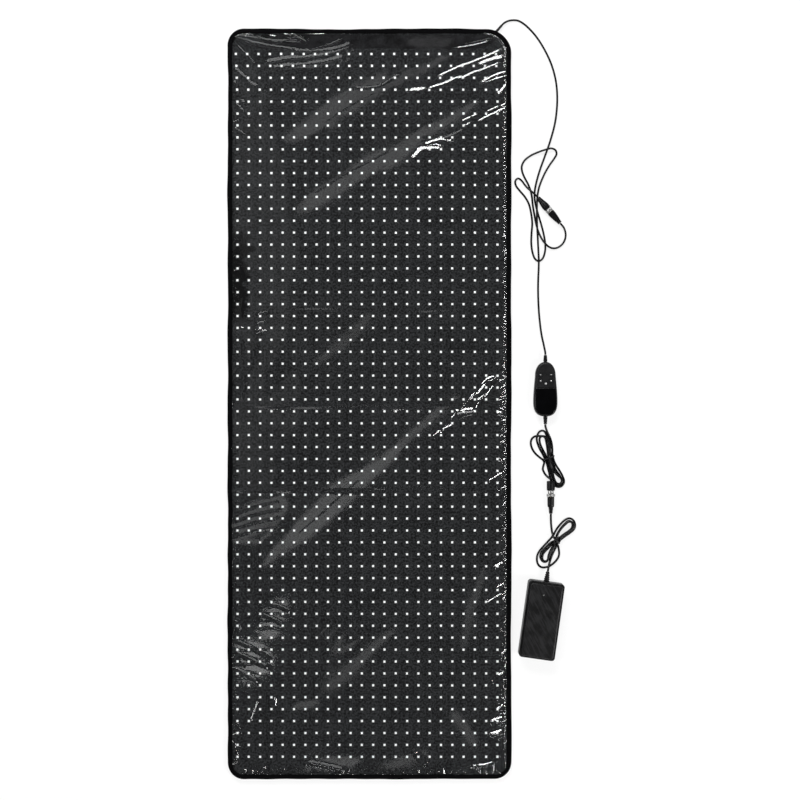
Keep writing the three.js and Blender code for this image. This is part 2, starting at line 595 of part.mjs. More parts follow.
// ---------- power supply ----------
function supplyBase() {
  const edge = 1;
  const plan = roundedRectangle(SUPPLY_WIDTH - 2 * edge, SUPPLY_LENGTH - 2 * edge, SUPPLY_CORNER - edge);
  const outer = new THREE.ExtrudeGeometry(plan, {
    depth: SUPPLY_BASE_HEIGHT - 2 * edge,
    bevelThickness: edge,
    bevelSize: edge,
    bevelSegments: 1,
    curveSegments: 5,
  }).translate(0, 0, edge);
  const wall = 2 * SUPPLY_WALL;
  const lip = 2 * SUPPLY_LIP;
  const cavity = slab(
    roundedRectangle(SUPPLY_WIDTH - wall, SUPPLY_LENGTH - wall, SUPPLY_CORNER - SUPPLY_WALL),
    SUPPLY_WALL, SUPPLY_BASE_HEIGHT - SUPPLY_WALL, 5);
  const rim = roundedRectangle(SUPPLY_WIDTH - lip, SUPPLY_LENGTH - lip, 2);
  const opening = slab(rim, SUPPLY_BASE_HEIGHT / 2, SUPPLY_BASE_HEIGHT + SPARE, 3);
  const inletHole = block(0, -SUPPLY_LENGTH / 2, INLET_Z - INLET_HEIGHT / 2 - TOUCH_GAP,
    INLET_WIDTH + 2 * TOUCH_GAP, 2 * SPARE, INLET_HEIGHT + 2 * TOUCH_GAP);
  const leadHole = rod(SUPPLY_LENGTH / 2 - SPARE, SUPPLY_LENGTH / 2 + SPARE, 4.2, 12);
  leadHole.translate(0, 0, RELIEF_HEIGHT);
  return [cavity, opening, inletHole, leadHole].reduce(
    (solid, cutter) => solid.subtract(toSolid(cutter)), toSolid(outer));
}

function supplyCover() {
  const [width, length] = [SUPPLY_WIDTH - 2 * SUPPLY_STEP, SUPPLY_LENGTH - 2 * SUPPLY_STEP];
  const edge = 1.6;
  const bottom = SUPPLY_BASE_HEIGHT + TOUCH_GAP;
  const outer = new THREE.ExtrudeGeometry(roundedRectangle(width - 2 * edge, length - 2 * edge, 4), {
    depth: SUPPLY_HEIGHT - bottom - 2 * edge,
    bevelThickness: edge,
    bevelSize: edge,
    bevelSegments: 2,
    curveSegments: 5,
  }).translate(0, 0, bottom + edge);
  const cavity = slab(roundedRectangle(width - 2 * SUPPLY_WALL, length - 2 * SUPPLY_WALL, 3),
    bottom - SPARE, SUPPLY_HEIGHT - SUPPLY_WALL, 3);
  const [x, y] = INDICATOR_PLACE;
  const hole = rod(SUPPLY_BASE_HEIGHT, SUPPLY_HEIGHT + SPARE, INDICATOR_RADIUS + TOUCH_GAP, 12)
    .rotateX(Math.PI / 2).translate(x, y, 0);
  return toSolid(outer).subtract(toSolid(cavity)).subtract(toSolid(hole));
}

// A recessed three-blade mains inlet, open towards -Y, with slots for its blades in the back wall.
const BLADES = [[-7, -2], [7, -2], [0, 2]];
const BLADE_WIDTH = 2;
const BLADE_HEIGHT = 4;
function inletShell() {
  const front = -SUPPLY_LENGTH / 2;
  const bottom = INLET_Z - INLET_HEIGHT / 2;
  const wall = 1.7;
  const middle = front + INLET_DEPTH / 2 + 0.2;
  let shell = toSolid(block(0, middle, bottom, INLET_WIDTH, INLET_DEPTH, INLET_HEIGHT));
  const recess = block(0, front + 7.2, bottom + wall, INLET_WIDTH - 2 * wall, 18, INLET_HEIGHT - 2 * wall);
  shell = shell.subtract(toSolid(recess));
  for (const [x, z] of BLADES) {
    const way = block(x, front + INLET_DEPTH, INLET_Z + z - BLADE_HEIGHT / 2 - TOUCH_GAP,
      BLADE_WIDTH + 2 * TOUCH_GAP, 16, BLADE_HEIGHT + 2 * TOUCH_GAP);
    shell = shell.subtract(toSolid(way));
  }
  return shell;
}

function inletBlades() {
  const front = -SUPPLY_LENGTH / 2;
  let blades = toSolid(block(0, front + INLET_DEPTH + 1.2, INLET_Z - 5, 20, 1.2, 11));
  for (const [x, z] of BLADES) {
    const middle = front + INLET_DEPTH / 2 + 2.6;
    const blade = block(x, middle, INLET_Z + z - BLADE_HEIGHT / 2, BLADE_WIDTH, 16.2, BLADE_HEIGHT);
    blades = blades.add(toSolid(blade));
  }
  return blades;
}

function buildSupply(parent) {
  const group = new THREE.Group();
  group.position.set(...SUPPLY_CENTRE, 0);
  group.rotation.z = THREE.MathUtils.degToRad(SUPPLY_TURN);
  place('supply_base', supplyBase(), CASE_BLACK, group);
  place('supply_cover', supplyCover(), CASE_BLACK, group);
  place('supply_board', block(0, 8, 5, 66, 126, 1.6), CIRCUIT_GREEN, group);
  place('supply_transformer', block(2, 6, 7, 34, 38, 25), FERRITE, group);
  const capacitor = rod(-16, 16, 9, 14).rotateZ(Math.PI / 2);
  place('supply_capacitor', capacitor.translate(0, -34, 16.2), SLEEVE_BLUE, group);
  place('supply_inlet', inletShell(), MOULDED_BLACK, group);
  place('supply_inlet_blades', inletBlades(), CONTACT_METAL, group);
  const relief = place('supply_strain_relief', turned(reliefProfile(), 14), MOULDED_BLACK, group);
  relief.position.set(0, SUPPLY_LENGTH / 2, RELIEF_HEIGHT);
  const [x, y] = INDICATOR_PLACE;
  const lens = rod(SUPPLY_HEIGHT - 6, SUPPLY_HEIGHT + 0.3, INDICATOR_RADIUS, 12).rotateX(Math.PI / 2);
  place('supply_indicator', lens, LENS_GREEN, group).position.set(x, y, 0);
  parent.add(group);
}

function reliefProfile() {
  const profile = [[-6.5, 6.4], [-4, 6.4], [-4, 3.9], [0.3, 3.9], [0.3, 6.2], [2.2, 6.2]];
  const ribs = 4;
  for (let rib = 0; rib < ribs; rib++) {
    const y = 3.6 + rib * 4.2;
    const radius = 5.7 - 0.45 * rib;
    profile.push([y, radius - 0.9], [y + 1, radius - 0.9], [y + 1.3, radius], [y + 3, radius - 0.1]);
  }
  profile.push([21.4, 3]);
  return profile;
}

buildSupply(object);

export default object;
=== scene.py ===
"""Looks for the LED light therapy mat, its leads, its controller and its power supply."""

import math

import bmesh
import bpy
import numpy as np
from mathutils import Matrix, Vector


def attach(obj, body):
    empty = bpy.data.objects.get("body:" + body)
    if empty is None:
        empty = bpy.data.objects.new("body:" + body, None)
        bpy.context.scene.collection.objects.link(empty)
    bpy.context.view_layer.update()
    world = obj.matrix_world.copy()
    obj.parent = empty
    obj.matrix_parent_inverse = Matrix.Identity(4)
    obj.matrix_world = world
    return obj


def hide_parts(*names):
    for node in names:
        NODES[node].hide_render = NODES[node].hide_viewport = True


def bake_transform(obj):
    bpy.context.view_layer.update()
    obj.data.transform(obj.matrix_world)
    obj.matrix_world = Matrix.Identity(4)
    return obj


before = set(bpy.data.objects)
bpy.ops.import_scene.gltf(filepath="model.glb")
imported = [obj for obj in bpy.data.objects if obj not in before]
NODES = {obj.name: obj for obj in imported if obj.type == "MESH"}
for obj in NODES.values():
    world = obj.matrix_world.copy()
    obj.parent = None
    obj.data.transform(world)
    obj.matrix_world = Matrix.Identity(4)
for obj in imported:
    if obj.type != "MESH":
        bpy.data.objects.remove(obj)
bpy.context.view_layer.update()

MM = 0.001
VIEW_CENTRE = (0.065, 0.0085)
VIEW_WIDTH = 1.704
SENSOR = 36
CAMERA_HEIGHT = 3.012
CAMERA_ABOVE_MAT = 3.0

THIN = 0.0044  # mat and controller leads
THICK = 0.0048  # leads either side of the second connector

HALF_WIDTH = 0.3025
HALF_LENGTH = 0.8
CORNER = 0.036
LEAD_CORNER = 0.052
FOLD_Y = -0.003
FOLD_LENGTH = 0.034  # the stretch of mat that bends
TOP_LIP = 0.0098  # how far the edge tape comes in over the film
BACKING_INSET = 0.0123
FILM_INSET = 0.0025
PANEL_TOP = 0.0081
FILM_REST = 0.0101
WIRES_Y = 0.772  # the supply wires across the head end
COLUMNS, LED_PITCH_X, LED_MIDDLE_X = 24, 0.0241, -0.0043
ROWS, LED_PITCH_Y = 60, 0.0254

# connectors and boots: where their axis starts, its heading in degrees from +X, and its height
GROMMET = ((0.2595, 0.782), 49, 0.006)
MAT_CONNECTOR = ((0.359, 0.440), -49, 0.0096)
SUPPLY_CONNECTOR = ((0.3865, -0.164), -90, 0.0096)
CONTROLLER = Vector((0.3747, 0.0317, 0))
CONTROLLER_HALF = 0.0584
SUPPLY = Vector((0.3655, -0.459, 0))
SUPPLY_TURN = math.radians(-8)


def direction(heading):
    return np.array([math.cos(math.radians(heading)), math.sin(math.radians(heading))])


def axes(heading):
    ahead = direction(heading)
    return ahead, np.array([-ahead[1], ahead[0]])


def turns(count):
    return [2 * math.pi * k / count for k in range(count)]


def linked(name, data):
    made = bpy.data.objects.new(name, data)
    bpy.context.scene.collection.objects.link(made)
    return made


# ---------- camera ----------
def make_camera():
    lens = bpy.data.cameras.new("camera")
    lens.sensor_width = SENSOR
    lens.lens = SENSOR * CAMERA_ABOVE_MAT / VIEW_WIDTH
    camera = linked("camera", lens)
    camera.location = (*VIEW_CENTRE, CAMERA_HEIGHT)
    bpy.context.scene.camera = camera


make_camera()


# ---------- materials ----------
class Finish:
    """A node material with short ways to add what it needs."""

    def __init__(self, name):
        self.material = bpy.data.materials.new(name)
        self.material.use_nodes = True
        self.tree = self.material.node_tree
        self.tree.nodes.clear()
        self.output = self.tree.nodes.new("ShaderNodeOutputMaterial")
        self.where = self.tree.nodes.new("ShaderNodeTexCoord").outputs["Object"]

    def feed(self, socket, value):
        if isinstance(value, bpy.types.NodeSocket):
            self.tree.links.new(value, socket)
        else:
            socket.default_value = value

    def node(self, kind, **inputs):
        made = self.tree.nodes.new(kind)
        for key, value in inputs.items():
            self.feed(made.inputs[key.replace("_", " ")], value)
        return made

    def noise(self, scale, detail=2.0, stretch=(1, 1, 1), rough=0.5, turn=0.0):
        turned_by = self.node("ShaderNodeMapping", Vector=self.where, Rotation=(0, 0, turn))
        moved = self.node("ShaderNodeMapping", Vector=turned_by.outputs[0], Scale=stretch)
        return self.node(
            "ShaderNodeTexNoise", Vector=moved.outputs[0], Scale=scale, Detail=detail, Roughness=rough
        ).outputs[0]

    def bands(self, axis, pitch, warp=0.4):
        made = self.node("ShaderNodeTexWave", Vector=self.where, Scale=0.314 / pitch, Distortion=warp)
        made.bands_direction = axis
        return made.outputs["Fac"]

    def ramp(self, value, low, high, start=0.3, end=0.7):
        return self.node(
            "ShaderNodeMapRange", Value=value, From_Min=start, From_Max=end, To_Min=low, To_Max=high
        ).outputs[0]

    def math(self, kind, *values):
        made = self.tree.nodes.new("ShaderNodeMath")
        made.operation = kind
        for socket, value in zip(made.inputs, values):
            self.feed(socket, value)
        return made.outputs[0]

    def plus(self, first, second):
        return self.math("ADD", first, second)

    def times(self, first, second):
        return self.math("MULTIPLY", first, second)

    def blend(self, value, dark, light):
        made = self.tree.nodes.new("ShaderNodeMix")
        made.data_type = "RGBA"
        self.tree.links.new(value, made.inputs["Factor"])
        made.inputs["A"].default_value = (*dark, 1)
        made.inputs["B"].default_value = (*light, 1)
        return made.outputs["Result"]

    def bump(self, height, depth, strength=1.0):
        return self.node("ShaderNodeBump", Height=height, Distance=depth, Strength=strength).outputs["Normal"]

    def joined(self, kind, first, second, **inputs):
        """Two shaders put together by the last two sockets of a mixing node."""
        made = self.node(kind, **inputs)
        for socket, shader in zip(made.inputs[-2:], (first, second)):
            self.tree.links.new(shader.outputs[0], socket)
        return made

    def finish(self, shader):
        self.tree.links.new(shader.outputs[0], self.output.inputs["Surface"])
        return self.material

    def principled(self, **inputs):
        return self.finish(self.node("ShaderNodeBsdfPrincipled", **inputs))


def tints(colour, spread):
    return [tuple(min(1.0, c * k) for c in colour) for k in (1 - spread, 1 + spread)]


def grey(level, blue=0.0):
    return (level, level, level + blue)


def moulded(name, colour, roughness, grain=0.0005, depth=0.00002, spread=0.25, specular=0.3, coat=0.0,
            streaks=0.0):
    """Moulded plastic or rubber: a fine grain, faint cloudiness and roughness that varies with handling.
    streaks adds the slanting hatch of a spark-eroded mould."""
    made = Finish(name)
    fine = made.noise(0.6 / grain)
    broad = made.noise(45.0, 4.0)
    tone = made.plus(made.times(fine, 0.4), made.times(broad, 0.6))
    if streaks:
        hatch = made.noise(330.0, 2.0, (1, 0.1, 1), turn=-0.5)
        tone = made.plus(made.times(tone, 1 - streaks), made.times(hatch, streaks))
        tone, spread = made.ramp(tone, 0.2, 0.8, 0.4, 0.6), 0.75
    return made.principled(
        Base_Color=made.blend(made.ramp(tone, 0, 1, 0.35, 0.65), *tints(colour, spread)),
        Roughness=made.ramp(broad, roughness - 0.05, roughness + 0.07),
        Specular_IOR_Level=specular,
        Coat_Weight=coat,
        Coat_Roughness=0.08,
        Normal=made.bump(fine, depth),
    )


def woven(name, colour, pitch):
    """A plain weave: two sets of threads at right angles, with slubs and faint wear."""
    made = Finish(name)
    threads = made.math("MAXIMUM", made.bands("X", pitch), made.bands("Y", pitch))
    slubs = made.noise(160.0, 3.0, (1, 0.3, 1))
    tone = made.times(threads, made.ramp(slubs, 0.6, 1.2))
    return made.principled(
        Base_Color=made.blend(tone, *tints(colour, 0.35)),
        Roughness=0.85,
        Specular_IOR_Level=0.02,
        Normal=made.bump(tone, 0.00012),
    )


def plated(name, colour, roughness):
    """Bright plating with fine turning marks and small dull spots."""
    made = Finish(name)
    marks = made.noise(900.0, 3.0, (0.2, 1, 1))
    spots = made.noise(260.0, 4.0)
    return made.principled(
        Base_Color=made.blend(made.ramp(spots, 0, 1), *tints(colour, 0.12)),
        Metallic=1.0,
        Roughness=made.ramp(spots, roughness - 0.06, roughness + 0.12),
        Normal=made.bump(marks, 0.00002),
    )


def clear_film(vinyl=1.6):
    """Clear vinyl: light passes straight through, and its surface mirrors the lamps."""
    made = Finish("clear_film")
    tilt = made.bump(made.plus(made.noise(70.0, 3.0), made.times(made.noise(260.0), 0.25)), 0.0002, 0.04)
    haze = made.noise(18.0, 4.0)
    mirror = made.node(
        "ShaderNodeBsdfGlossy", Roughness=made.ramp(haze, 0.02, 0.05), Normal=tilt, Color=(1, 1, 1, 1)
    )
    through = made.node("ShaderNodeBsdfTransparent", Color=(0.93, 0.94, 0.95, 1))
    behind = made.tree.nodes.new("ShaderNodeNewGeometry").outputs["Backfacing"]
    edge = made.node("ShaderNodeFresnel", IOR=made.ramp(behind, vinyl, 1 / vinyl, 0, 1), Normal=tilt)
    return made.finish(made.joined("ShaderNodeMixShader", through, mirror, Fac=edge.outputs[0]))


def led_panel():
    """The dark flexible boards under the film: mottled, with faint strips between the columns of LEDs, and
    painted blacker in a patch by the left edge, a painted shade for where the clinging film adds no haze."""
    made = Finish("led_panel")
    mottle = made.noise(240.0, 4.0, rough=0.75)
    clouds = made.noise(30.0, 3.0)
    strips = made.bands("X", LED_PITCH_X, 0.0)
    tone = made.plus(made.times(mottle, 0.88), made.times(clouds, 0.12))
    tone = made.plus(tone, made.times(strips, 0.02))
    # painted shade: a blacker patch by the left edge, painted into the boards' colour where the clinging film
    # adds no haze
    x, y, _ = made.node("ShaderNodeSeparateXYZ", Vector=made.where).outputs
    edge = made.plus(x, made.times(made.noise(26.0, 3.0, (1, 2.2, 1)), 0.08))
    along = made.times(made.ramp(y, 0, 1, 0.165, 0.185), made.ramp(y, 1, 0, 0.34, 0.38))
    painted_dark_patch = made.times(made.ramp(edge, 0.95, 0, -0.222, -0.214), along)
    tone = made.times(made.ramp(tone, 0, 1, 0.43, 0.6), made.math("SUBTRACT", 1.0, painted_dark_patch))
    return made.principled(
        Base_Color=made.blend(tone, (0.0005, 0.0005, 0.0006), (0.029, 0.03, 0.031)),
        Roughness=0.75,
        Specular_IOR_Level=0.05,
        Normal=made.bump(mottle, 0.0002),
    )


def printed(name, colour, roughness=0.5):
    made = Finish(name)
    tone = made.blend(made.ramp(made.noise(700.0, 3.0), 0, 1), *tints(colour, 0.06))
    return made.principled(Base_Color=tone, Roughness=roughness)


def circuit(name):
    """Green solder mask over a faint maze of tracks."""
    made = Finish(name)
    tracks = made.times(made.bands("X", 0.0026, 6.0), made.bands("Y", 0.0034, 6.0))
    tone = made.blend(made.ramp(tracks, 0, 1, 0.3, 0.4), (0.008, 0.07, 0.025), (0.02, 0.16, 0.06))
    return made.principled(Base_Color=tone, Roughness=0.35, Normal=made.bump(tracks, 0.00005))


JACKET = moulded("lead_jacket", grey(0.0016, 0.0002), 0.3, grain=0.0012, specular=0.2)
BLACK_RUBBER = moulded("moulded_black", grey(0.002, 0.0003), 0.36, specular=0.18)
TIE = moulded("tie_black", grey(0.007, 0.001), 0.5)
METAL = plated("plated_metal", (0.42, 0.42, 0.415), 0.3)
BRASS = plated("contact_brass", (0.72, 0.5, 0.2), 0.25)
CASE = moulded("controller_case", grey(0.003, 0.0004), 0.45, grain=0.0011, depth=0.00022, specular=0.22)
SUPPLY_CASE = moulded("supply_case", grey(0.0054, 0.0004), 0.42, depth=0.00006, specular=0.22, streaks=0.55)
WINDOW = moulded("controller_window", grey(0.001, 0.0002), 0.1, grain=0.004, depth=0.00001, specular=0.16)
BUTTON = moulded("button_grey", grey(0.004, 0.001), 0.45)
GLYPH = printed("glyph_white", (0.85, 0.85, 0.83))
WIRE_COVER = moulded("wire_cover", grey(0.0085, 0.0005), 0.8, grain=0.002, spread=0.9, specular=0.03)
PANEL = led_panel()
FILM = clear_film()
TAPE = woven("edge_tape", grey(0.0016, 0.0002), 0.0009)
BACKING = woven("backing_fabric", (0.03, 0.032, 0.034), 0.0016)
FOAM = moulded("foam_core", grey(0.05, 0.002), 0.9, grain=0.0015, depth=0.0004, specular=0.1)
THREAD = woven("thread_black", grey(0.003, 0.0003), 0.0004)
LED_BODY = printed("led_body", (0.93, 0.93, 0.92), 0.4)
LED_LENS = printed("led_lens", (0.93, 0.93, 0.9), 0.15)
LED_PAD = printed("led_pad", (0.0012, 0.0012, 0.0013), 0.7)


# ---------- cords ----------
def smooth_line(route, step):
    """A centripetal Catmull-Rom line through a route in millimetres, evenly spaced, in metres."""
    p = np.array(route, float) * MM
    p = np.vstack([2 * p[0] - p[1], p, 2 * p[-1] - p[-2]])
    line = []
    for a, b, c, d in zip(p[:-3], p[1:-2], p[2:-1], p[3:]):
        k = [0.0]
        for u, v in ((a, b), (b, c), (c, d)):
            k.append(k[-1] + max(np.linalg.norm(v - u) ** 0.5, 1e-6))
        t = np.linspace(k[1], k[2], 24, endpoint=False)[:, None]

        def between(u, v, first, last):
            return (k[last] - t) / (k[last] - k[first]) * u + (t - k[first]) / (k[last] - k[first]) * v

        ab, bc, cd = between(a, b, 0, 1), between(b, c, 1, 2), between(c, d, 2, 3)
        line.append(between(between(ab, bc, 0, 2), between(bc, cd, 1, 3), 1, 2))
    line = np.vstack([*line, p[-2]])
    along = np.concatenate([[0], np.cumsum(np.linalg.norm(np.diff(line, axis=0), axis=1))])
    at = np.linspace(0, along[-1], max(2, round(along[-1] / step)))
    return np.stack([np.interp(at, along, line[:, i]) for i in range(3)], axis=1)


def settled(route, diameter, rounds=260, step=0.002, held=3):
    """A hank's route let down under its own weight, with its strands kept a diameter apart."""
    drawn = smooth_line(route, step)
    line = drawn.copy()
    rest = np.linalg.norm(np.diff(line, axis=0), axis=1).mean()
    first, second = np.triu_indices(len(line), k=math.ceil(3.2 * diameter / step))
    apart = diameter * 1.02
    radius = 1.9 * diameter
    for _ in range(rounds):
        between = line[second] - line[first]
        distance = np.linalg.norm(between, axis=1) + 1e-9
        close = distance < apart
        move = between[close] * ((apart - distance[close]) / distance[close] / 2)[:, None]
        push, count = np.zeros_like(line), np.zeros(len(line))
        for ends, sign in ((first[close], -1), (second[close], 1)):
            np.add.at(push, ends, sign * move)
            np.add.at(count, ends, 1)
        line += push / np.maximum(count, 1)[:, None]
        line[:, 2] -= 0.04 * MM
        line[1:-1] += ((line[:-2] + line[2:]) / 2 - line[1:-1]) * 0.12
        for reach in (3, 5):  # open the bends that are tighter than the cord lies easily
            least = 2 * radius * math.sin(reach * step / (2 * radius))
            chord = line[reach:] - line[:-reach]
            width = np.linalg.norm(chord, axis=1) + 1e-9
            spread = chord * (np.maximum(least - width, 0) / width / 2)[:, None] * 0.6
            line[:-reach] -= spread
            line[reach:] += spread
        line[:, :2] += (drawn[:, :2] - line[:, :2]) * 0.05
        pieces = np.diff(line, axis=0)
        lengths = np.linalg.norm(pieces, axis=1)
        pull = pieces * ((lengths - rest) / lengths * 0.45)[:, None]
        line[:-1] += pull
        line[1:] -= pull
        line[:, 2] = np.maximum(line[:, 2], diameter / 2 + 0.1 * MM)
        line[:held], line[-held:] = drawn[:held], drawn[-held:]
    for _ in range(40):  # ease the two ends into the part that is held
        for near in (slice(held, 16), slice(len(line) - 16, len(line) - held)):
            before, after = slice(near.start - 1, near.stop - 1), slice(near.start + 1, near.stop + 1)
            line[near] += ((line[before] + line[after]) / 2 - line[near]) * 0.5
    return line


def cord_piece(name, line, diameter, body, *nodes):
    data = bpy.data.curves.new(name, "CURVE")
    data.dimensions = "3D"
    data.bevel_depth = diameter / 2
    data.bevel_resolution = 3
    data.use_fill_caps = True
    spline = data.splines.new("POLY")
    spline.points.add(len(line) - 1)
    spline.points.foreach_set("co", np.column_stack([line, np.ones(len(line))]).ravel())
    spline.use_smooth = True
    data.materials.append(JACKET)
    made = linked(name, data)
    settle_in(made, body, nodes)
    return made


def settle_in(made, body, nodes=()):
    """Hangs a piece on its body in place of CAD nodes."""
    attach(made, body)
    if nodes:
        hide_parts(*nodes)


def at(placement, along):
    """The point a distance in millimetres along a connector's or boot's axis, in millimetres."""
    plan, heading, height = placement
    return (*(np.array(plan) / MM + direction(heading) * along), height / MM)


def lying(height, route):
    """A route in mm, with the height of a cord that lies on the floor where a point has none."""
    return [(*point, height)[:3] for point in route]


MAT_LEAD_ROUTE = lying(2.4, [
    at(GROMMET, 35), at(GROMMET, 37.5), (290, 815, 5), (297.5, 818.5, 3.4), (307, 820), (317, 819),
    (329, 812.5), (343, 800), (359, 781), (376, 753), (389, 724), (398, 690), (401, 652), (397, 605),
    (386, 562), (373, 525), (365, 503), (357.5, 478), (353, 456), (352.5, 441), (354.5, 427), (360, 406),
    (367.5, 381), (373, 358), (375.5, 340), (374.5, 324), (369.5, 310.5), (361.5, 305), (353.5, 310),
    (348, 324), (345.5, 343), (346, 364), (347.5, 386), (345, 408), (340, 428), (331.5, 443), (320.5, 456),
    (312.5, 467), (311.5, 477), (317.5, 482), (325, 477), (332, 467.5, 3.2), (339, 459, 6.6),
    (346.5, 452.5, 8.6), at(MAT_CONNECTOR, -4), at(MAT_CONNECTOR, -0.5),
])
CONTROLLER_LEAD_ROUTE = lying(2.4, [
    at(MAT_CONNECTOR, 72.5), at(MAT_CONNECTOR, 76), (414, 377, 7.4), (417.5, 370, 4.2), (419, 359.5),
    (416.5, 349), (410.5, 340), (401.5, 334), (392.5, 332.5, 3.2), (383.5, 335, 6.2), (376, 341, 7.4),
    (369.5, 349.5, 6), (364.5, 359, 3.4), (360, 370), (355.5, 386), (352, 405), (348.5, 426), (347, 441),
    (344.5, 454), (339, 469), (331.5, 483), (326.5, 495), (325, 507), (330.5, 519.5), (344, 530.5),
    (361, 538, 4.6), (377, 543, 7.4), (389, 545.5, 5.6), (397.5, 542, 2.8), (399.5, 534), (394.5, 524.5),
    (385, 511), (376, 496), (368.5, 480), (362.5, 464), (359.5, 450), (358.2, 439, 2.6), (357.3, 428, 6.6),
    (357, 414, 7.4), (357, 398, 7.4), (357.5, 380, 7.4), (358.5, 360, 7.4), (359.5, 340, 7.4),
    (360.5, 320, 7.4), (361, 305, 7.4), (361, 290, 5.4), (360.5, 272, 2.6), (360, 250), (360.5, 221),
    (362.5, 188), (367, 150, 3), (372, 124, 7.6), (374.6, 109.1, 11), (374.7, 104.8, 11),
])
# Each hank's route follows the strands one after another, from the end nearer the controller.
UPPER_HANK_ROUTE = lying(2.6, [
    (374.7, -43.4, 11), (374.7, -46, 11), (375, -51.1, 10.2), (377.2, -58.6, 8.6), (383, -69.2, 6),
    (388.3, -83.1, 4.2), (390.6, -98), (390, -110.8), (395.1, -125.7), (404.7, -140.6), (412.8, -155.5),
    (414.3, -166.1), (409, -174.7), (400.4, -175.9), (393, -169.3), (386.6, -155.5), (383, -138.4),
    (378.7, -121.4), (370.6, -106.5), (362.1, -91.6), (357.4, -78.8), (357.4, -69, 3.4),
    (362.3, -60.1, 3.6), (369.6, -56.7, 3.2), (376.4, -60.9, 4), (381.5, -73.5, 6.5), (384.9, -87.3, 7.2),
    (385.1, -102.2, 7.4), (386.4, -115, 7.4), (390.9, -129.9, 7.4), (399.4, -144.8, 7.4),
    (408.3, -157.6, 7.4), (411, -166.6, 7.4), (405.3, -173.5, 7.4), (397.5, -169.5, 7.4),
    (391.2, -158.7, 7.4), (386.6, -140.6, 7.4), (381.9, -122.5, 7.4), (374.5, -107.6, 6.5),
    (367.4, -93.7, 5), (363.4, -80.9, 4.4), (364.3, -72.3, 4.4), (369.3, -68.4, 4.6), (374.8, -72.3, 5),
    (378.1, -84.1, 5.2), (380.2, -98, 6), (383.4, -112.9, 11), (387.9, -127.8, 11), (394.7, -143.8, 10.5),
    (402.4, -152.3, 9.5), (409.4, -159.8, 11.6), (408.6, -168.4, 11.6), (401.1, -170.3, 11),
    (394.1, -160.7, 11.2), (389.2, -140.6, 11.4), (384.5, -123.5, 11.4), (383.6, -106.5, 11.4),
    (383.6, -89.5, 11), (380.8, -76.7, 10.4), (374.5, -69.4, 10), (365.3, -68.6, 9), (354.6, -68.6, 8),
    (347, -73.7, 5), (344.2, -83.1, 3.4), (347.4, -95.8, 3), (355.3, -107.1, 3.4), (365.7, -115.9, 6),
    (373, -122.7, 7.5), (371.5, -131, 4), (370, -141.6, 3), (372.5, -149.5, 4.5), (378, -155, 8),
    (383, -158, 9.4), (386.2, -161, 9.6), (386.5, -163.5, 9.6),
])
LOWER_HANK_ROUTE = lying(2.6, [
    (386.5, -234.1, 9.6), (386.5, -238.6, 9.6), (387, -247.1, 9.6), (388.3, -262, 9.8),
    (389.6, -272.6, 11.5), (391.7, -281.2, 14), (395.1, -288.6, 15.5), (399.2, -296.7, 14),
    (402.8, -305.2, 8), (404.9, -315.2, 3.4), (404.5, -324.8), (400.2, -332.7), (393.8, -339.7),
    (386.2, -345.1), (375.9, -349.1), (366.8, -348.9), (360.4, -343.6), (357.6, -335.5), (357.6, -327),
    (360.4, -318.4), (366.8, -309.3), (374.5, -301), (381.9, -292.9), (389.2, -285), (394.3, -276.9),
    (399.8, -267.1), (407.5, -257.3), (416, -248.8), (424.9, -244.1), (433.2, -246.2), (438.6, -253.9),
    (439.2, -262), (436, -268.8), (428.1, -275.2), (418.1, -281.8), (409, -288.6, 4), (400.4, -292.9, 7.4),
    (393, -294.6, 7.4), (385.5, -297.8, 4.4), (378.1, -305, 2.8), (370.4, -313.1), (365.9, -320.6, 3),
    (366.4, -330.1, 4.4), (371.3, -337, 4.4), (377.6, -337, 4.4), (382.8, -330.1, 3.4),
    (385.3, -321.6, 2.8), (388.7, -313.1, 3), (393, -305.4, 5), (396.8, -295, 11), (399.4, -282.2, 8),
    (404.7, -271.6, 2.8), (411.1, -262.6), (418.5, -255), (425.6, -249.8), (431.1, -252), (433.7, -257.7),
    (433, -264.1), (427.5, -270.1), (419.2, -276, 3), (410, -282.9, 6), (402.6, -289.7, 9.5),
    (394.3, -295.9, 11.4), (388.7, -300.3, 9), (381.5, -308.2, 4), (374, -315.2, 3), (369, -322.7, 6),
    (369, -331.1, 8), (374.2, -336, 8), (379.4, -332.8, 8), (381.9, -324.8, 7.2), (384.9, -316.3, 7),
    (389.2, -307.8, 9), (394.5, -298.2, 13.5), (398.3, -286.7, 13), (402.6, -275.4, 8.4),
    (409.6, -265, 7.4), (417.5, -256.9, 7.4), (425.6, -250.8, 7.4), (432.6, -252.6, 7.4),
    (435.9, -259.4, 7.4), (433.5, -266.2, 7.4), (426.2, -272.4, 7.4), (417.5, -279, 8), (409, -286.7, 10),
    (402.1, -296.1, 10), (398.3, -305.7, 7), (392.8, -315.9, 4), (387.9, -325.9, 4), (384.3, -336.5, 6),
    (382.3, -345.1, 9), (381.1, -350.4, 11), (380.4, -353.6, 12), (380, -356.1, 12),
])

mat_lead_line = smooth_line(MAT_LEAD_ROUTE, 0.003)
controller_lead_line = smooth_line(CONTROLLER_LEAD_ROUTE, 0.003)
upper_supply_line = settled(UPPER_HANK_ROUTE, THICK)
lower_supply_line = settled(LOWER_HANK_ROUTE, THICK)
mat_lead_cord = cord_piece("mat_lead_cord", mat_lead_line, THIN, "mat_head", "mat_lead")
controller_lead_cord = cord_piece(
    "controller_lead_cord", controller_lead_line, THIN, "mat_head", "controller_lead"
)
upper_supply_cord = cord_piece(
    "upper_supply_cord", upper_supply_line, THICK, "mat_head", "upper_supply_lead", "upper_supply_hank"
)
lower_supply_cord = cord_piece(
    "lower_supply_cord", lower_supply_line, THICK, "supply", "lower_supply_lead", "lower_supply_hank"
)


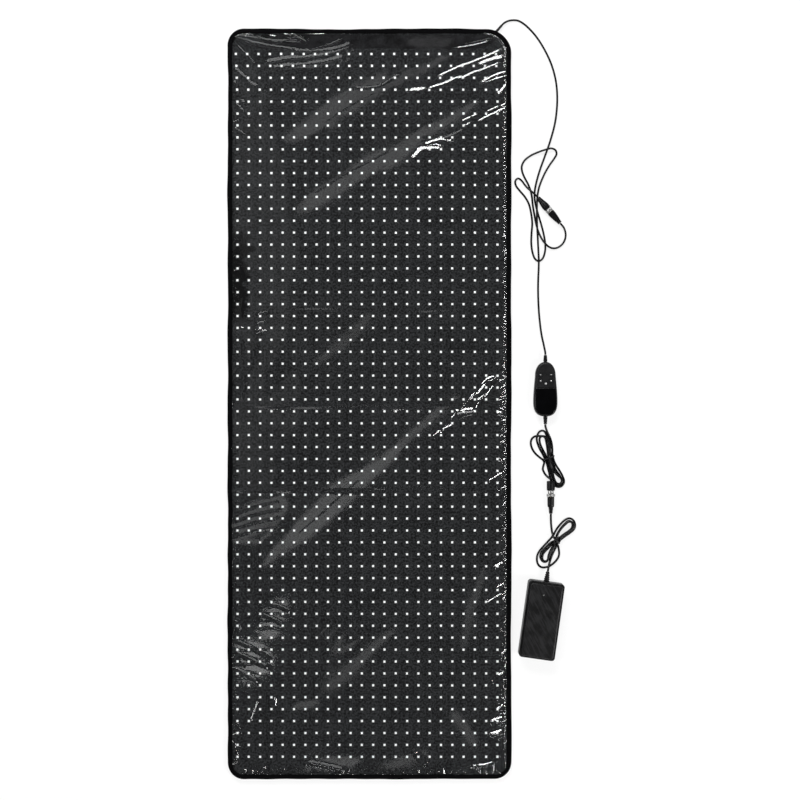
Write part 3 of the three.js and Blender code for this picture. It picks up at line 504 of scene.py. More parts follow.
# ---------- mesh helpers ----------
def circle(x, y, radius, height, around=32):
    """A level ring about a point given in metres, with its radius and height in mm."""
    size = radius * MM
    return [(x + size * math.cos(a), y + size * math.sin(a), height * MM) for a in turns(around)]


def smoothed(mesh, sharp=35):
    mesh.polygons.foreach_set("use_smooth", [True] * len(mesh.polygons))
    mesh.set_sharp_from_angle(angle=math.radians(sharp))


def mesh_piece(name, points, faces, finish, body=None, nodes=(), slot=None, sharp=35):
    mesh = bpy.data.meshes.new(name)
    mesh.from_pydata([tuple(map(float, p)) for p in points], [], [tuple(f) for f in faces])
    mesh.update()
    smoothed(mesh, sharp)
    for one in finish if isinstance(finish, list) else [finish]:
        mesh.materials.append(one)
    made = linked(name, mesh)
    if body:
        settle_in(made, body, nodes)
    return made


def lofted(rings, closed=False, inward=False):
    """Points and faces of a skin over rings of equally many points, capped unless it closes on itself."""
    count = len(rings[0])
    points = [p for ring in rings for p in ring]
    faces = []
    for r in range(len(rings) if closed else len(rings) - 1):
        a, b = r * count, (r + 1) % len(rings) * count
        for i in range(count):
            j = (i + 1) % count
            faces.append((a + i, a + j, b + j, b + i))
    if not closed:
        faces.append(tuple(reversed(range(count))))
        faces.append(tuple(range((len(rings) - 1) * count, len(rings) * count)))
    return points, [tuple(reversed(f)) for f in faces] if inward else faces


def turned(name, placement, profile, body, node, finish=BLACK_RUBBER, bore=(), around=40, shape=None):
    """A piece turned about a level axis. profile, and bore if it is hollow, are (along, radius) in mm."""
    centre, heading, height = placement
    ahead, aside = axes(heading)
    rings = []
    for outer, (along, radius) in [(True, p) for p in profile] + [(False, p) for p in reversed(bore)]:
        ring = []
        for angle in turns(around):
            r = radius + (shape(along, angle) if shape and outer else 0)
            plan = np.array(centre) + (ahead * along + aside * r * math.cos(angle)) * MM
            ring.append((*plan, height + r * math.sin(angle) * MM))
        rings.append(ring)
    return mesh_piece(name, *lofted(rings, closed=bool(bore)), finish, body, [node], sharp=30)


def cut(made, *cutters):
    """Takes the cutters out of a piece, which keeps its material."""
    for cutter in cutters:
        modifier = made.modifiers.new("cut", "BOOLEAN")
        modifier.operation, modifier.solver, modifier.object = "DIFFERENCE", "EXACT", cutter
    bpy.context.view_layer.update()
    ready = made.evaluated_get(bpy.context.evaluated_depsgraph_get())
    mesh = bpy.data.meshes.new_from_object(ready)
    made.modifiers.clear()
    made.data = mesh
    smoothed(mesh)
    for cutter in cutters:
        bpy.data.objects.remove(cutter)


def join_parts(parts):
    """One list of points and one of faces from several."""
    points, faces = [], []
    for more_points, more_faces in parts:
        base = len(points)
        points += list(more_points)
        faces += [tuple(base + i for i in face) for face in more_faces]
    return points, faces


# ---------- mat ----------
def span(y, inset):
    """Left and right ends of the mat's outline at y, drawn in by inset."""
    end = HALF_LENGTH - inset
    ends = []
    for side in (-1, 1):
        radius = (LEAD_CORNER if side > 0 and y > 0 else CORNER) - inset
        into = max(0.0, abs(y) - (end - radius))
        bite = radius - math.sqrt(max(0.0, radius**2 - into**2))
        ends.append(side * (HALF_WIDTH - inset - bite))
    return ends


def stations(inset, spacing):
    """Where a layer of the mat has its rows: close in the corners and where it bends."""
    end = HALF_LENGTH - inset
    corner = LEAD_CORNER - inset
    arc = corner * np.sin(np.linspace(0, math.pi / 2, 11))
    straight = np.linspace(-end + corner, end - corner, round(2 * (end - corner) / spacing) + 1)
    bend = FOLD_Y - np.linspace(0, FOLD_LENGTH, 12)
    every = np.concatenate([end - corner + arc, -(end - corner + arc), straight, bend])
    every = np.unique(np.round(every, 6))
    return every[np.concatenate([[True], np.diff(every) > 0.0006])]


def over_fold(made, nodes):
    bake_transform(made)
    if nodes:
        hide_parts(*nodes)
    return made


def both(*endings):
    return [f"{half}_{ending}" for half in ("head", "foot") for ending in endings]


def layer(name, inset, bottom, top, columns, finish, nodes):
    """A flat layer of the mat as a grid above, a grid below and walls between them."""
    ys = stations(inset, 0.02)
    points = []
    for z in (bottom, top):
        for y in ys:
            left, right = span(y, inset)
            points += [(left + (right - left) * f, y, z) for f in np.linspace(0, 1, columns + 1)]
    wide, last = columns + 1, len(ys) - 1

    def lower(row, column):
        return row * wide + column

    def upper(row, column):
        return (len(ys) + row) * wide + column

    faces = []
    for r in range(last):
        for c in range(columns):
            faces.append((upper(r, c), upper(r, c + 1), upper(r + 1, c + 1), upper(r + 1, c)))
            faces.append((lower(r, c), lower(r + 1, c), lower(r + 1, c + 1), lower(r, c + 1)))
        faces.append((lower(r, 0), upper(r, 0), upper(r + 1, 0), lower(r + 1, 0)))
        faces.append((lower(r, columns), lower(r + 1, columns), upper(r + 1, columns), upper(r, columns)))
    for c in range(columns):
        faces.append((lower(0, c), lower(0, c + 1), upper(0, c + 1), upper(0, c)))
        faces.append((lower(last, c), upper(last, c), upper(last, c + 1), lower(last, c + 1)))
    return over_fold(mesh_piece(name, points, faces, finish), nodes)


SQUARE = ((-1, -1), (1, -1), (1, 1), (-1, 1))


def build_leds():
    """1440 white packages on dark pads, each with a domed round lens, on their pitch."""
    rng = np.random.default_rng(24)
    sides = 12
    points, faces, finishes = [], [], []

    def skin(first, count, levels, finish):
        """Walls between rings of points, and a cap on the last."""
        for base in range(first, first + levels * count, count):
            for k in range(count):
                j = (k + 1) % count
                faces.append((base + k, base + j, base + count + j, base + count + k))
        faces.append(tuple(first + levels * count + k for k in range(count)))
        finishes.extend([finish] * (levels * count + 1))

    for column in range(COLUMNS):
        for row in range(ROWS):
            x = LED_MIDDLE_X + (column - (COLUMNS - 1) / 2) * LED_PITCH_X + rng.normal(0, 0.0001)
            y = FOLD_Y + (row - (ROWS - 1) / 2) * LED_PITCH_Y + rng.normal(0, 0.0001)
            x -= 0.0035 * max(0.0, (y - 0.65) / 0.1)  # the columns lean in towards the head end
            turn = rng.normal(0, 0.02)
            c, s = math.cos(turn), math.sin(turn)
            skin_at = len(points)
            points += [(x + 0.0043 * u, y + 0.0041 * v, PANEL_TOP + 0.00006) for u, v in SQUARE]
            skin(skin_at, 4, 0, 2)
            for half, z in ((0.0022, PANEL_TOP), (0.0022, 0.0092), (0.00205, 0.0094)):
                points += [(x + (c * u - s * v) * half, y + (s * u + c * v) * half, z) for u, v in SQUARE]
            skin(skin_at + 4, 4, 2, 0)
            for radius, z in ((1.8, 9.4), (1.7, 9.55), (1, 9.7)):
                points += circle(x, y, radius, z, sides)
            skin(skin_at + 16, sides, 2, 1)
    made = mesh_piece("led_packages", points, faces, [LED_BODY, LED_LENS, LED_PAD])
    made.data.polygons.foreach_set("material_index", finishes)
    return over_fold(made, ())


# How steep a crease's sides are at the head end, and how much steeper they get for each metre towards the
# foot. The lamps stand beyond the head end, so the further a crease is from them, the steeper its sides are
# where they mirror one: BRIGHT is for the main lamp, SOFT for the dimmer one below it, FAINT for hardly
# any light, and CUT draws a dark line through a reflection.
BRIGHT, SOFT, FAINT, CUT = (0.26, 0.26), (0.1, 0.3), (0.08, 0.08), (0.05, 0)


def creases(steep, rows):
    """Creases of one steepness. Each row is half a width, then x and y along the crest, in mm."""
    return [(list(zip(row[1::2], row[2::2])), row[0], steep) for row in rows]


CREASES = [
    # top left: a scalloped fold under the tape, with soft folds fanning out below it
    *creases(SOFT, [
        (5, -291, 783, -241, 769, -206, 762, -170, 757, -141, 754, -103, 761, -70, 773, -49, 786),
        (5, -288, 788, -240, 779, -195, 772, -160, 771, -130, 776, -100, 783),
        (3.5, -191, 775, -172, 774, -156, 774), (7, -175, 754, -120, 752, -70, 757, -39, 768),
        (9, -229, 725, -175, 735, -137, 738, -94, 744, -39, 760), (4, -284, 766, -260, 742, -241, 720),
        (7, -289, 716, -265, 694, -253, 682, -236, 675), (8, -289, 690, -279, 651, -265, 637),
        (7, -286, 640, -270, 622, -262, 610), (6, -288, 588, -276, 580, -266, 573),
        (4, -34, 673, 20, 678, 65, 704),
    ]),
    *creases(FAINT, [
        (10, -217, 714, -175, 719, -99, 728, -49, 740),
    ]),
    # top right: long creases running down from the corner
    *creases(BRIGHT, [
        (3, 182, 758, 220, 764, 256, 773), (4, 250, 787, 268, 781, 279, 770, 284, 757, 281, 752),
        (5, 284, 756, 266, 747, 221, 728, 195, 719, 145, 696), (9, 287, 738, 256, 730, 233, 721),
        (5, 280, 728, 248, 714, 217, 703, 197, 693), (5, 204, 696, 184, 693, 160, 682, 126, 672),
        (7, 120, 670, 100, 668, 86, 666), (5, 292, 707, 267, 699, 238, 684),
        (4, 288, 698, 266, 691, 240, 682), (7, 293, 680, 284, 668, 274, 658), (4, 276, 634, 252, 623),
        (5, 293, 631, 269, 620, 250, 611, 230, 600), (4, 292, 640, 280, 634), (4, 230, 617, 196, 602),
        (4, 216, 600, 203, 592), (6, 180, 557, 152, 562, 117, 552), (4, 158, 548, 139, 552, 120, 551),
        (9, 156, 543, 130, 543, 113, 541, 103, 532, 91, 518),
    ]),
    *creases(SOFT, [
        (3, 202, 767, 234, 773, 268, 782), (6, 200, 584, 178, 573, 155, 563),
    ]),
    # right of the middle: a sharp fold shaped like a leaning box, with a soft one running down from it
    *creases(BRIGHT, [
        (6, 274, 58, 254, 53, 226, 23, 206, 2, 184, -21), (6, 272, 56, 262, 50, 250, 47),
        (7, 182, -17, 204, -14, 226, -12), (4, 221, -12, 227, -3, 234, 8, 247, 21, 264, 44),
        (6, 240, 12, 230, 6), (4, 184, -22, 174, -31), (5, 178, -45, 155, -56), (6, 152, -57, 136, -72),
        (5, 292, 84, 284, 76, 291, 68), (4, 293, 10, 281, -3, 290, -8),
        (4, 275, -8, 287, -16, 272, -20, 291, -24), (4, 294, -141, 274, -153, 252, -166),
        (4, 269, -178, 280, -184, 292, -190), (4, 276, -184, 292, -196),
    ]),
    *creases(SOFT, [
        (4, 195, -32, 221, -23), (4, 8, -183, 37, -184),
    ]),
    # left edge
    *creases(SOFT, [
        (8, -278, 292, -270, 262, -264, 230, -268, 190), (6, -238, 192, -216, 196),
        (5, -240, 171, -220, 175), (5, -240, 150, -224, 153), (6, -214, -425, -190, -432, -167, -444),
        (6, -231, -447, -205, -458, -180, -472), (6, -288, -503, -250, -520, -212, -545),
        (7, -290, -527, -250, -546, -212, -562), (5, -236, -633, -244, -655, -252, -675),
        (5, -200, -622, -204, -660, -211, -700), (8, -137, -763, -95, -770, -52, -781),
        (9, 97, -741, 122, -769),
    ]),
    *creases(FAINT, [
        (14, -284, 150, -274, 100, -268, 50, -276, 5),
    ]),
    *creases(BRIGHT, [
        (6, -291, -560, -265, -575, -237, -592), (6, -290, -716, -280, -750, -262, -785),
        (6, -284, -735, -262, -760, -248, -786),
    ]),
    # glints down the right edge
    *creases(BRIGHT, [
        (6, 266, -349, 287, -338), (5, 272, -391, 290, -383), (4, 250, -424, 284, -404),
        (6, 262, -594, 275, -580, 289, -573), (6, 272, -651, 291, -643), (7, 257, -679, 287, -667),
        (7, 257, -706, 286, -696),
    ]),
    # the narrow dark folds inside the long reflections
    *creases(CUT, [
        (2, -160, -282, -110, -240, -62, -196, -20, -160), (2, -30, -150, 10, -112, 44, -78),
        (2, -112, 452, -60, 484, -10, 512, 40, 538), (2, -100, 596, -40, 636, 20, 668),
    ]),
    # stripes drawn in by the tape on the left
    *creases(CUT, [
        (4, -291, -222, -240, -203, -205, -196), (4, -291, -237, -240, -219, -196, -209),
        (4, -291, -252, -240, -235, -190, -225), (4, -291, -268, -240, -252, -184, -241),
        (4, -291, -284, -240, -270, -190, -262), (3, -228, -436, -200, -432, -176, -436),
        (4, -232, -450, -205, -447, -176, -452), (3, -236, -466, -205, -462, -178, -466),
        (4, -240, -482, -210, -477, -184, -482), (3, -291, -520, -258, -527, -216, -522),
        (4, -291, -533, -258, -541, -216, -548), (3, -291, -551, -258, -555, -218, -549),
        (4, -291, -566, -258, -570, -216, -579), (3, -291, -584, -258, -586, -222, -580),
    ]),
    # bottom right
    *creases(BRIGHT, [
        (5, 215, -772, 252, -768, 284, -750), (4, 262, -768, 264, -784),
    ]),
    # where the mat is folded for storage
    *creases((0.07, 0), [
        (7, -288, 200, -100, 199, 100, 201, 288, 200), (7, -288, -183, -60, -186, 120, -182, 288, -186),
    ]),
    *creases((0.08, 0), [
        (7, -288, -3, -100, -5, 60, -2, 288, 6),
    ]),
]


# Long pale reflections in flat film. A lamp is hung for each: start, end and width in mm, and radiance.
BANDS = [
    ("head", (-180, 560), (40, 705), 46, 0.7),
    ("head_far", (-80, 620), (170, 745), 20, 0.5),
    ("head_foot", (-166, 570), (-138, 584), 15, 0.9),
    ("head_patch", (-90, 587), (-62, 599), 13, 0.6),
    ("strip", (88, 768), (172, 777), 22, 0.35),
    ("upper", (-160, 412), (110, 575), 40, 0.8),
    ("upper_tip", (-150, 420), (-10, 505), 24, 1.9),
    ("upper_far", (-20, 500), (235, 650), 20, 0.8),
    ("middle", (-225, -345), (70, -80), 46, 1.0),
    ("middle_far", (-60, -180), (190, 20), 22, 0.8),
    ("bar", (-120, 80), (10, 195), 20, 0.5),
    ("left_head", (-258, 720), (-205, 130), 110, 0.16),
    ("left", (-222, 520), (-196, -60), 96, 0.14),
    ("left_foot", (-268, 240), (-235, -200), 80, 0.16),
    ("left_side", (-272, 185), (-274, -15), 34, 1.1),
    ("left_corner", (-262, 722), (-236, 668), 18, 0.9),
    ("left_shoulder", (-280, 662), (-276, 545), 22, 0.6),
    ("stripes", (-310, -285), (-180, -205), 62, 0.8),
    ("fan_upper", (-226, -500), (-182, -415), 44, 2.0),
    ("fan_lower", (-300, -548), (-208, -548), 86, 2.6),
    ("low", (-104, -602), (62, -480), 30, 0.6),
    ("low_patch", (-165, -645), (-110, -630), 22, 0.7),
    ("low_left", (-90, -528), (-42, -492), 14, 0.6),
    ("foot", (-140, -772), (-20, -756), 24, 1.0),
    ("foot_right", (25, -778), (125, -745), 22, 0.7),
    ("corner", (180, -655), (228, -730), 22, 0.6),
    ("tall", (190, -520), (246, -350), 20, 0.4),
]


def edge_puckers():
    """Short creases that the tape's stitching draws in the film along its edges."""
    rng = np.random.default_rng(731)
    made = []

    def times(low, high):
        share = rng.uniform(low, high)
        return tuple(share * part for part in BRIGHT)

    def row(side, start, end, gap, length, steep, wide=(3, 4.5), lean=(8, 55)):
        y = start
        while y > end:
            reach = rng.uniform(*length)
            slope = math.radians(rng.uniform(*lean)) * rng.choice([1, 1, -1])
            x = side * 293.5
            tip = (x - side * reach * math.cos(slope), y - reach * math.sin(slope))
            middle = ((x + tip[0]) / 2, (y + tip[1]) / 2 + rng.uniform(-1.2, 1.2))
            made.append(([(x, y), middle, tip], rng.uniform(*wide), times(*steep)))
            y -= rng.uniform(0.6, 1.4) * gap

    row(1, 768, -782, 3.6, (4, 8), (0.9, 1.3), (2.2, 3.4), (2, 24))
    row(1, 640, -20, 5.5, (5, 9), (0.95, 1.15), (2.4, 3.2), (4, 16))
    row(1, 590, 170, 19, (6, 11), (0.8, 1.3))
    row(1, 104, -78, 8, (8, 20), (0.9, 1.4))
    row(1, -115, -335, 12, (8, 17), (0.85, 1.3))
    row(1, -345, -480, 20, (7, 12), (0.8, 1.2))
    row(1, -488, -745, 10, (8, 24), (0.85, 1.3))
    row(-1, 600, 300, 20, (8, 20), (0.3, 0.6))
    row(-1, 285, -20, 12, (8, 24), (0.3, 0.7))
    row(-1, -60, -470, 24, (7, 18), (0.3, 0.6))
    row(-1, -480, -770, 11, (10, 30), (0.4, 0.75))
    for k in range(16):  # round the corner that the lead leaves
        angle = math.radians(4 + 82 * k / 15)
        out = np.array([math.cos(angle), math.sin(angle)])
        start = np.array([250.5, 748]) + out * 42.5
        tip = start - np.array([1, 0.2]) * rng.uniform(4, 6)
        made.append(([tuple(start), tuple(tip)], rng.uniform(2, 3), times(0.95, 1.3)))
    for _ in range(22):  # crumple between the top left fold and the tape
        x, y = rng.uniform(-285, -110), rng.uniform(772, 790)
        run = rng.uniform(8, 22)
        tip = (x + run, y - run * rng.uniform(0.1, 0.6))
        made.append(([(x, y), tip], rng.uniform(3, 4.5), times(0.3, 0.55)))
    for x in np.arange(-270, 282, 13):  # along the bottom tape
        x = x + rng.uniform(-4, 4)
        steep = times(0.8, 1.3) if x > 100 else times(0.3, 0.7)
        made.append(([(x, -790), (x + rng.uniform(-6, 6), -790 + rng.uniform(6, 13))], 3.2, steep))
    return made


def film_swell(x, y):
    """Low waves all over the film, mostly lying from lower left to upper right, calmer by the reflections."""
    rng = np.random.default_rng(58)
    swell = np.zeros_like(x)
    for _ in range(30):
        heading = rng.normal(math.radians(-52), 0.45)
        wave = 2 * math.pi / rng.uniform(0.05, 0.24)
        run = x * math.cos(heading) + y * math.sin(heading)
        patch = 0.5 + 0.5 * np.sin(x * rng.uniform(4, 14) + y * rng.uniform(4, 14) + rng.uniform(0, 6.3))
        swell += rng.uniform(0.1, 0.9) / wave * 0.008 * patch * np.sin(run * wave + rng.uniform(0, 6.3))
    away = np.full_like(x, 1.0)
    for name, start, end, width, _ in BANDS:
        if "left" not in name:
            a, b = np.array(start) * MM, np.array(end) * MM
            t = np.clip(((x - a[0]) * (b - a)[0] + (y - a[1]) * (b - a)[1]) / ((b - a) @ (b - a)), 0, 1)
            gap = np.hypot(x - a[0] - t * (b - a)[0], y - a[1] - t * (b - a)[1]) - width / 2 * MM
            away = np.minimum(away, gap)
    free = np.clip(away / 0.11, 0, 1)
    return swell * (0.14 + 0.86 * free * free * (3 - 2 * free))


def raise_crease(x, y, z, crest, half, steep):
    """Lifts the film along one crest, with straight sides, and fading at both ends."""
    crest = smooth_line([(*p, 0) for p in crest], 0.004)[:, :2]
    half = half * MM
    near = np.flatnonzero(
        (x > crest[:, 0].min() - half) & (x < crest[:, 0].max() + half)
        & (y > crest[:, 1].min() - half) & (y < crest[:, 1].max() + half)
    )
    if not len(near):
        return
    best = np.full(len(near), np.inf)
    place = np.zeros(len(near))
    last = len(crest) - 1
    for k in range(last):
        a, along = crest[k], crest[k + 1] - crest[k]
        t = ((x[near] - a[0]) * along[0] + (y[near] - a[1]) * along[1]) / (along @ along)
        t = np.clip(t, 0, 1)
        away = np.hypot(x[near] - a[0] - t * along[0], y[near] - a[1] - t * along[1])
        closer = away < best
        best[closer] = away[closer]
        place[closer] = (k + t[closer]) / last
    across = np.clip(1 - best / half, 0, 1)
    flank = np.where(across < 0.8, across - 0.1, 0.7 + (across - 0.8) - (across - 0.8) ** 2 / 0.4)
    flank = np.where(across < 0.2, across**2 / 0.4, flank)
    fade = np.clip(np.minimum(place, 1 - place) * 7 + 0.3, 0, 1)
    z[near] = np.maximum(z[near], FILM_REST + steep * half * fade * flank)


def lifted(x, y, every):
    """How high the film stands at each place."""
    z = np.full_like(x, FILM_REST) + film_swell(x, y)
    for crest, half, (steep, gain) in every:
        away = 0.75 - sum(p[1] for p in crest) / len(crest) * MM
        raise_crease(x, y, z, crest, half, steep + gain * away)
    over_wires = np.clip(1 - np.abs(y - WIRES_Y) / 0.02, 0, 1) * np.clip((0.255 - x) / 0.02, 0, 1)
    z = np.maximum(z, 0.0098 + 0.0002 * over_wires)
    ends = [span(v, TOP_LIP) for v in y]
    clear = np.array([min(u - low, high - u) for u, (low, high) in zip(x, ends)])
    clear = np.minimum(clear, HALF_LENGTH - TOP_LIP - np.abs(y))
    free = np.clip((clear + 0.0005) / 0.0022, 0, 1)
    return FILM_REST + (z - FILM_REST) * free * free * (3 - 2 * free)


def touched(x, y, every, spread):
    """Where the film is within spread, in mm, of a crease."""
    z = np.full_like(x, FILM_REST)
    for crest, half, _ in every:
        raise_crease(x, y, z, crest, half + spread, 1.0)
    return z > FILM_REST + 1e-6


def refine(grid, wanted, cuts):
    """Divides the faces with at least two wanted corners."""
    grid.verts.index_update()
    edges = {e for f in grid.faces if sum(wanted[v.index] for v in f.verts) > 1 for e in f.edges}
    bmesh.ops.subdivide_edges(grid, edges=list(edges), cuts=cuts, use_grid_fill=True)
    return np.array([v.co[:2] for v in grid.verts]).T


def build_film():
    """A sheet with its mesh made finer wherever a crease crosses it."""
    inset, coarse = FILM_INSET, 0.006
    across = np.linspace(0, 1, round(2 * HALF_WIDTH / coarse) + 1)
    grid = bmesh.new()
    rows = []
    for y in stations(inset, coarse):
        left, right = span(y, inset)
        rows.append([grid.verts.new((left + (right - left) * f, y, 0)) for f in across])
    for low, high in zip(rows, rows[1:]):
        for k in range(len(across) - 1):
            grid.faces.new((low[k], low[k + 1], high[k + 1], high[k]))
    every = CREASES + edge_puckers()
    x, y = np.array([v.co[:2] for v in grid.verts]).T
    x, y = refine(grid, touched(x, y, every, 3.0), 3)
    x, y = refine(grid, (x > 0.2865) & (x < 0.2932) & (np.abs(y) < 0.79), 1)
    height = lifted(x, y, every)
    for vertex, z in zip(grid.verts, height):
        vertex.co.z = z
    mesh = bpy.data.meshes.new("mat_film")
    grid.to_mesh(mesh)
    grid.free()
    mesh.polygons.foreach_set("use_smooth", [True] * len(mesh.polygons))
    step = 0.0003
    lean = np.stack([
        (height - lifted(x + step, y, every)) / step, (height - lifted(x, y + step, every)) / step,
        np.ones_like(x),
    ], axis=1)
    mesh.normals_split_custom_set_from_vertices(lean / np.linalg.norm(lean, axis=1)[:, None])
    mesh.materials.append(FILM)
    return over_fold(linked("mat_film", mesh), both("film"))


def outline_stations(spacing):
    """(point, outward normal, distance along) all round the mat's edge."""
    places = []
    for sx, sy, start in ((1, 1, 0), (-1, 1, 90), (-1, -1, 180), (1, -1, 270)):
        radius = LEAD_CORNER if (sx, sy) == (1, 1) else CORNER
        centre = np.array([sx * (HALF_WIDTH - radius), sy * (HALF_LENGTH - radius)])
        steps = max(8, round(radius * math.pi / 2 / spacing))
        for k in range(steps + 1):
            angle = math.radians(start + 90 * k / steps)
            normal = np.array([math.cos(angle), math.sin(angle)])
            places.append((centre + radius * normal, normal))
    filled = []
    for (p, n), (q, _) in zip(places, places[1:] + places[:1]):
        filled.append((p, n))
        gap = np.linalg.norm(q - p)
        if gap > 2 * spacing:
            steps = round(gap / spacing)
            filled += [(p + (q - p) * k / steps, n) for k in range(1, steps)]
    run, placed = 0.0, []
    for (p, n), (q, _) in zip(filled, filled[1:] + filled[:1]):
        placed.append((p, n, run))
        run += np.linalg.norm(q - p)
    return placed, run


def wander(seed, around, wavelengths):
    """A smooth closed wave along the edge, in mm, from (wavelength mm, size mm) pairs."""
    rng = np.random.default_rng(seed)
    parts = []
    for wavelength, size in wavelengths:
        laps = max(1, round(around / (wavelength * MM)))
        for extra in (0, 1, 3):
            parts.append((2 * math.pi * (laps + extra) / around, rng.uniform(0, 2 * math.pi), size))
    return lambda run: sum(size * math.sin(k * run + phase) for k, phase, size in parts)


def build_binding(places, around):
    """The edge tape, folded over the mat's edge, and a little uneven as sewn tape is."""
    edge = wander(5, around, [(420, 0.35), (160, 0.22), (70, 0.14)])
    lip = wander(6, around, [(90, 0.25), (31, 0.16)])
    puff = wander(7, around, [(26, 0.08), (13, 0.07)])
    section = [  # (out from the edge, height) in mm, round the tape's folded section
        (-9.8, 10.4), (-9.8, 11.2), (-8.6, 11.6), (-5.5, 11.7), (-2.6, 11.5), (-0.9, 10.6), (-0.1, 8.6),
        (0, 5.8), (-0.1, 3), (-0.9, 1.1), (-2.6, 0.2), (-5.5, 0), (-12, 0), (-12, 1.4), (-2.5, 1.5),
        (-1.5, 3), (-1.3, 5.8), (-1.5, 9), (-2.5, 10.3),
    ]
    rings = []
    for point, normal, run in places:
        ring = []
        for index, (out, height) in enumerate(section):
            if index in (0, 1, 2):
                out += lip(run)
            if 1 <= index <= 4:
                height += puff(run)
            if 4 <= index <= 10:
                out += min(edge(run), 1.3)
            ring.append((*(point + normal * out * MM), height * MM))
        rings.append(ring)
    made = mesh_piece("mat_binding", *lofted(rings, closed=True), TAPE, sharp=60)
    over_fold(made, both("binding"))


def build_stitching(places, around):
    """A row of thread on the tape's upper face and one on its lower face."""
    runs = np.array([p[2] for p in places])
    pitch, half, thick = 0.0042, 0.0016, 0.00028
    parts = []
    for out, height in ((-7.4, 11.75), (-9.2, 0.12)):
        for k in range(int(around / pitch)):
            index = int(np.searchsorted(runs, k * pitch)) % len(places)
            point, normal, _ = places[index]
            middle = point + normal * out * MM
            along = np.array([-normal[1], normal[0]])
            rings = []
            for t, swell in ((-1, 0.35), (-0.6, 1), (0, 1.15), (0.6, 1), (1, 0.35)):
                centre = middle + along * half * t
                ring = []
                for angle in turns(6):
                    plan = centre + normal * thick * swell * math.cos(angle)
                    ring.append((*plan, height * MM + thick * swell * 0.6 * math.sin(angle)))
                rings.append(ring)
            parts.append(lofted(rings))
    over_fold(mesh_piece("tape_stitching", *join_parts(parts), THREAD, sharp=180), ())


def build_wire_cover():
    """A strip of tape over the wires that run across the head end, under the film."""
    hump = [(-14, 8.15), (-11.5, 8.35), (-7, 9.35), (-4, 9.66), (0, 9.5), (4, 9.66), (7, 9.4), (12, 8.35)]
    hump.append((15, 8.15))
    rings = []
    for x in np.linspace(-232, 264, 64):
        drift = 0.5 * math.sin(x / 17) + 0.3 * math.sin(x / 7.3)
        bend = max(0.0, x - 238) / 26
        top = []
        for out, z in hump:
            out = out * (1 - 0.4 * bend)
            top.append((x * MM, WIRES_Y + (drift + 7 * bend + out) * MM, z * MM))
        rings.append(top + [(px, py, pz - 0.15 * MM) for px, py, pz in reversed(top)])
    mesh_piece("wire_cover", *lofted(rings), WIRE_COVER, "mat_head", (), "edge_tape")


def build_mat():
    build_wire_cover()
    columns = 16
    cloth = both("backing")
    backing = layer("mat_backing", BACKING_INSET, 0.0, 0.0014, columns, BACKING, cloth)
    foam = layer("mat_foam", 0.0016, 0.0017, 0.007, columns, FOAM, both("foam"))
    boards = both(*[f"led_board_{n}" for n in range(1, 5)])
    layer("mat_panel", 0.0045, 0.0073, PANEL_TOP, COLUMNS, PANEL, boards)
    build_leds()
    film = build_film()
    edge = outline_stations(0.004)
    build_binding(*edge)
    build_stitching(*edge)


build_mat()


# ---------- boots, connectors and ties ----------
def ribs(first, last, count, thick, thin):
    """A tapering ribbed profile from first to last along the axis."""
    profile = []
    pitch = (last - first) / count
    for k in range(count):
        radius = thick + (thin - thick) * k / max(1, count - 1)
        for share, groove in ((0, 0.9), (0.22, 0.9), (0.34, 0.12), (0.48, 0), (0.78, 0.05), (0.92, 0.25)):
            profile.append((first + (k + share) * pitch, radius - groove))
    return profile


def shifted(profile, start):
    return [(along + start, radius) for along, radius in profile]


def flutes(count, depth, start, end):
    """A change of radius that cuts rounded flutes between two places along the axis."""

    def shape(along, angle):
        if not start <= along <= end:
            return 0.0
        return -depth * max(0.0, math.cos(count * angle)) ** 2

    return shape


def nut_profile(start, end, radius):
    rise = shifted([(0, -1), (0.15, -0.5), (0.7, 0), (1.5, 0), (1.8, -0.3), (2.2, -0.05)], start)
    fall = shifted([(-1.7, -0.05), (-1.3, -0.35), (-1, 0), (-0.5, 0), (-0.1, -0.4), (0, -0.9)], end)
    return [(along, radius + change) for along, change in rise + fall]


def barrel_profile(start, end, radius, thread_from):
    """A plated barrel with a rounded thread towards its end."""
    profile = [(start, radius - 0.4), (start + 0.4, radius - 0.02)]
    k = thread_from
    while k < end - 0.9:
        for share, groove in ((0, 0.02), (0.25, 0.3), (0.5, 0.3), (0.75, 0.02)):
            profile.append((k + share, radius - groove))
        k += 1.0
    return profile + [(end - 0.3, radius - 0.1), (end, radius - 0.4)]


def plated_parts(name, place, body, barrel, wall, nut, nut_radius, way, around, cuts):
    """A connector's threaded barrel, and the fluted nut that turns about it."""
    turned(f"{name}_thread", place, barrel_profile(*barrel), body, f"{name}_barrel", METAL,
           bore=[(barrel[0], wall), (barrel[1], wall)])
    turned(f"{name}_coupler", place, nut_profile(*nut, nut_radius), f"{name}_coupling", f"{name}_nut", METAL,
           bore=[(nut[0], way), (nut[1], way)], around=around, shape=flutes(*cuts))


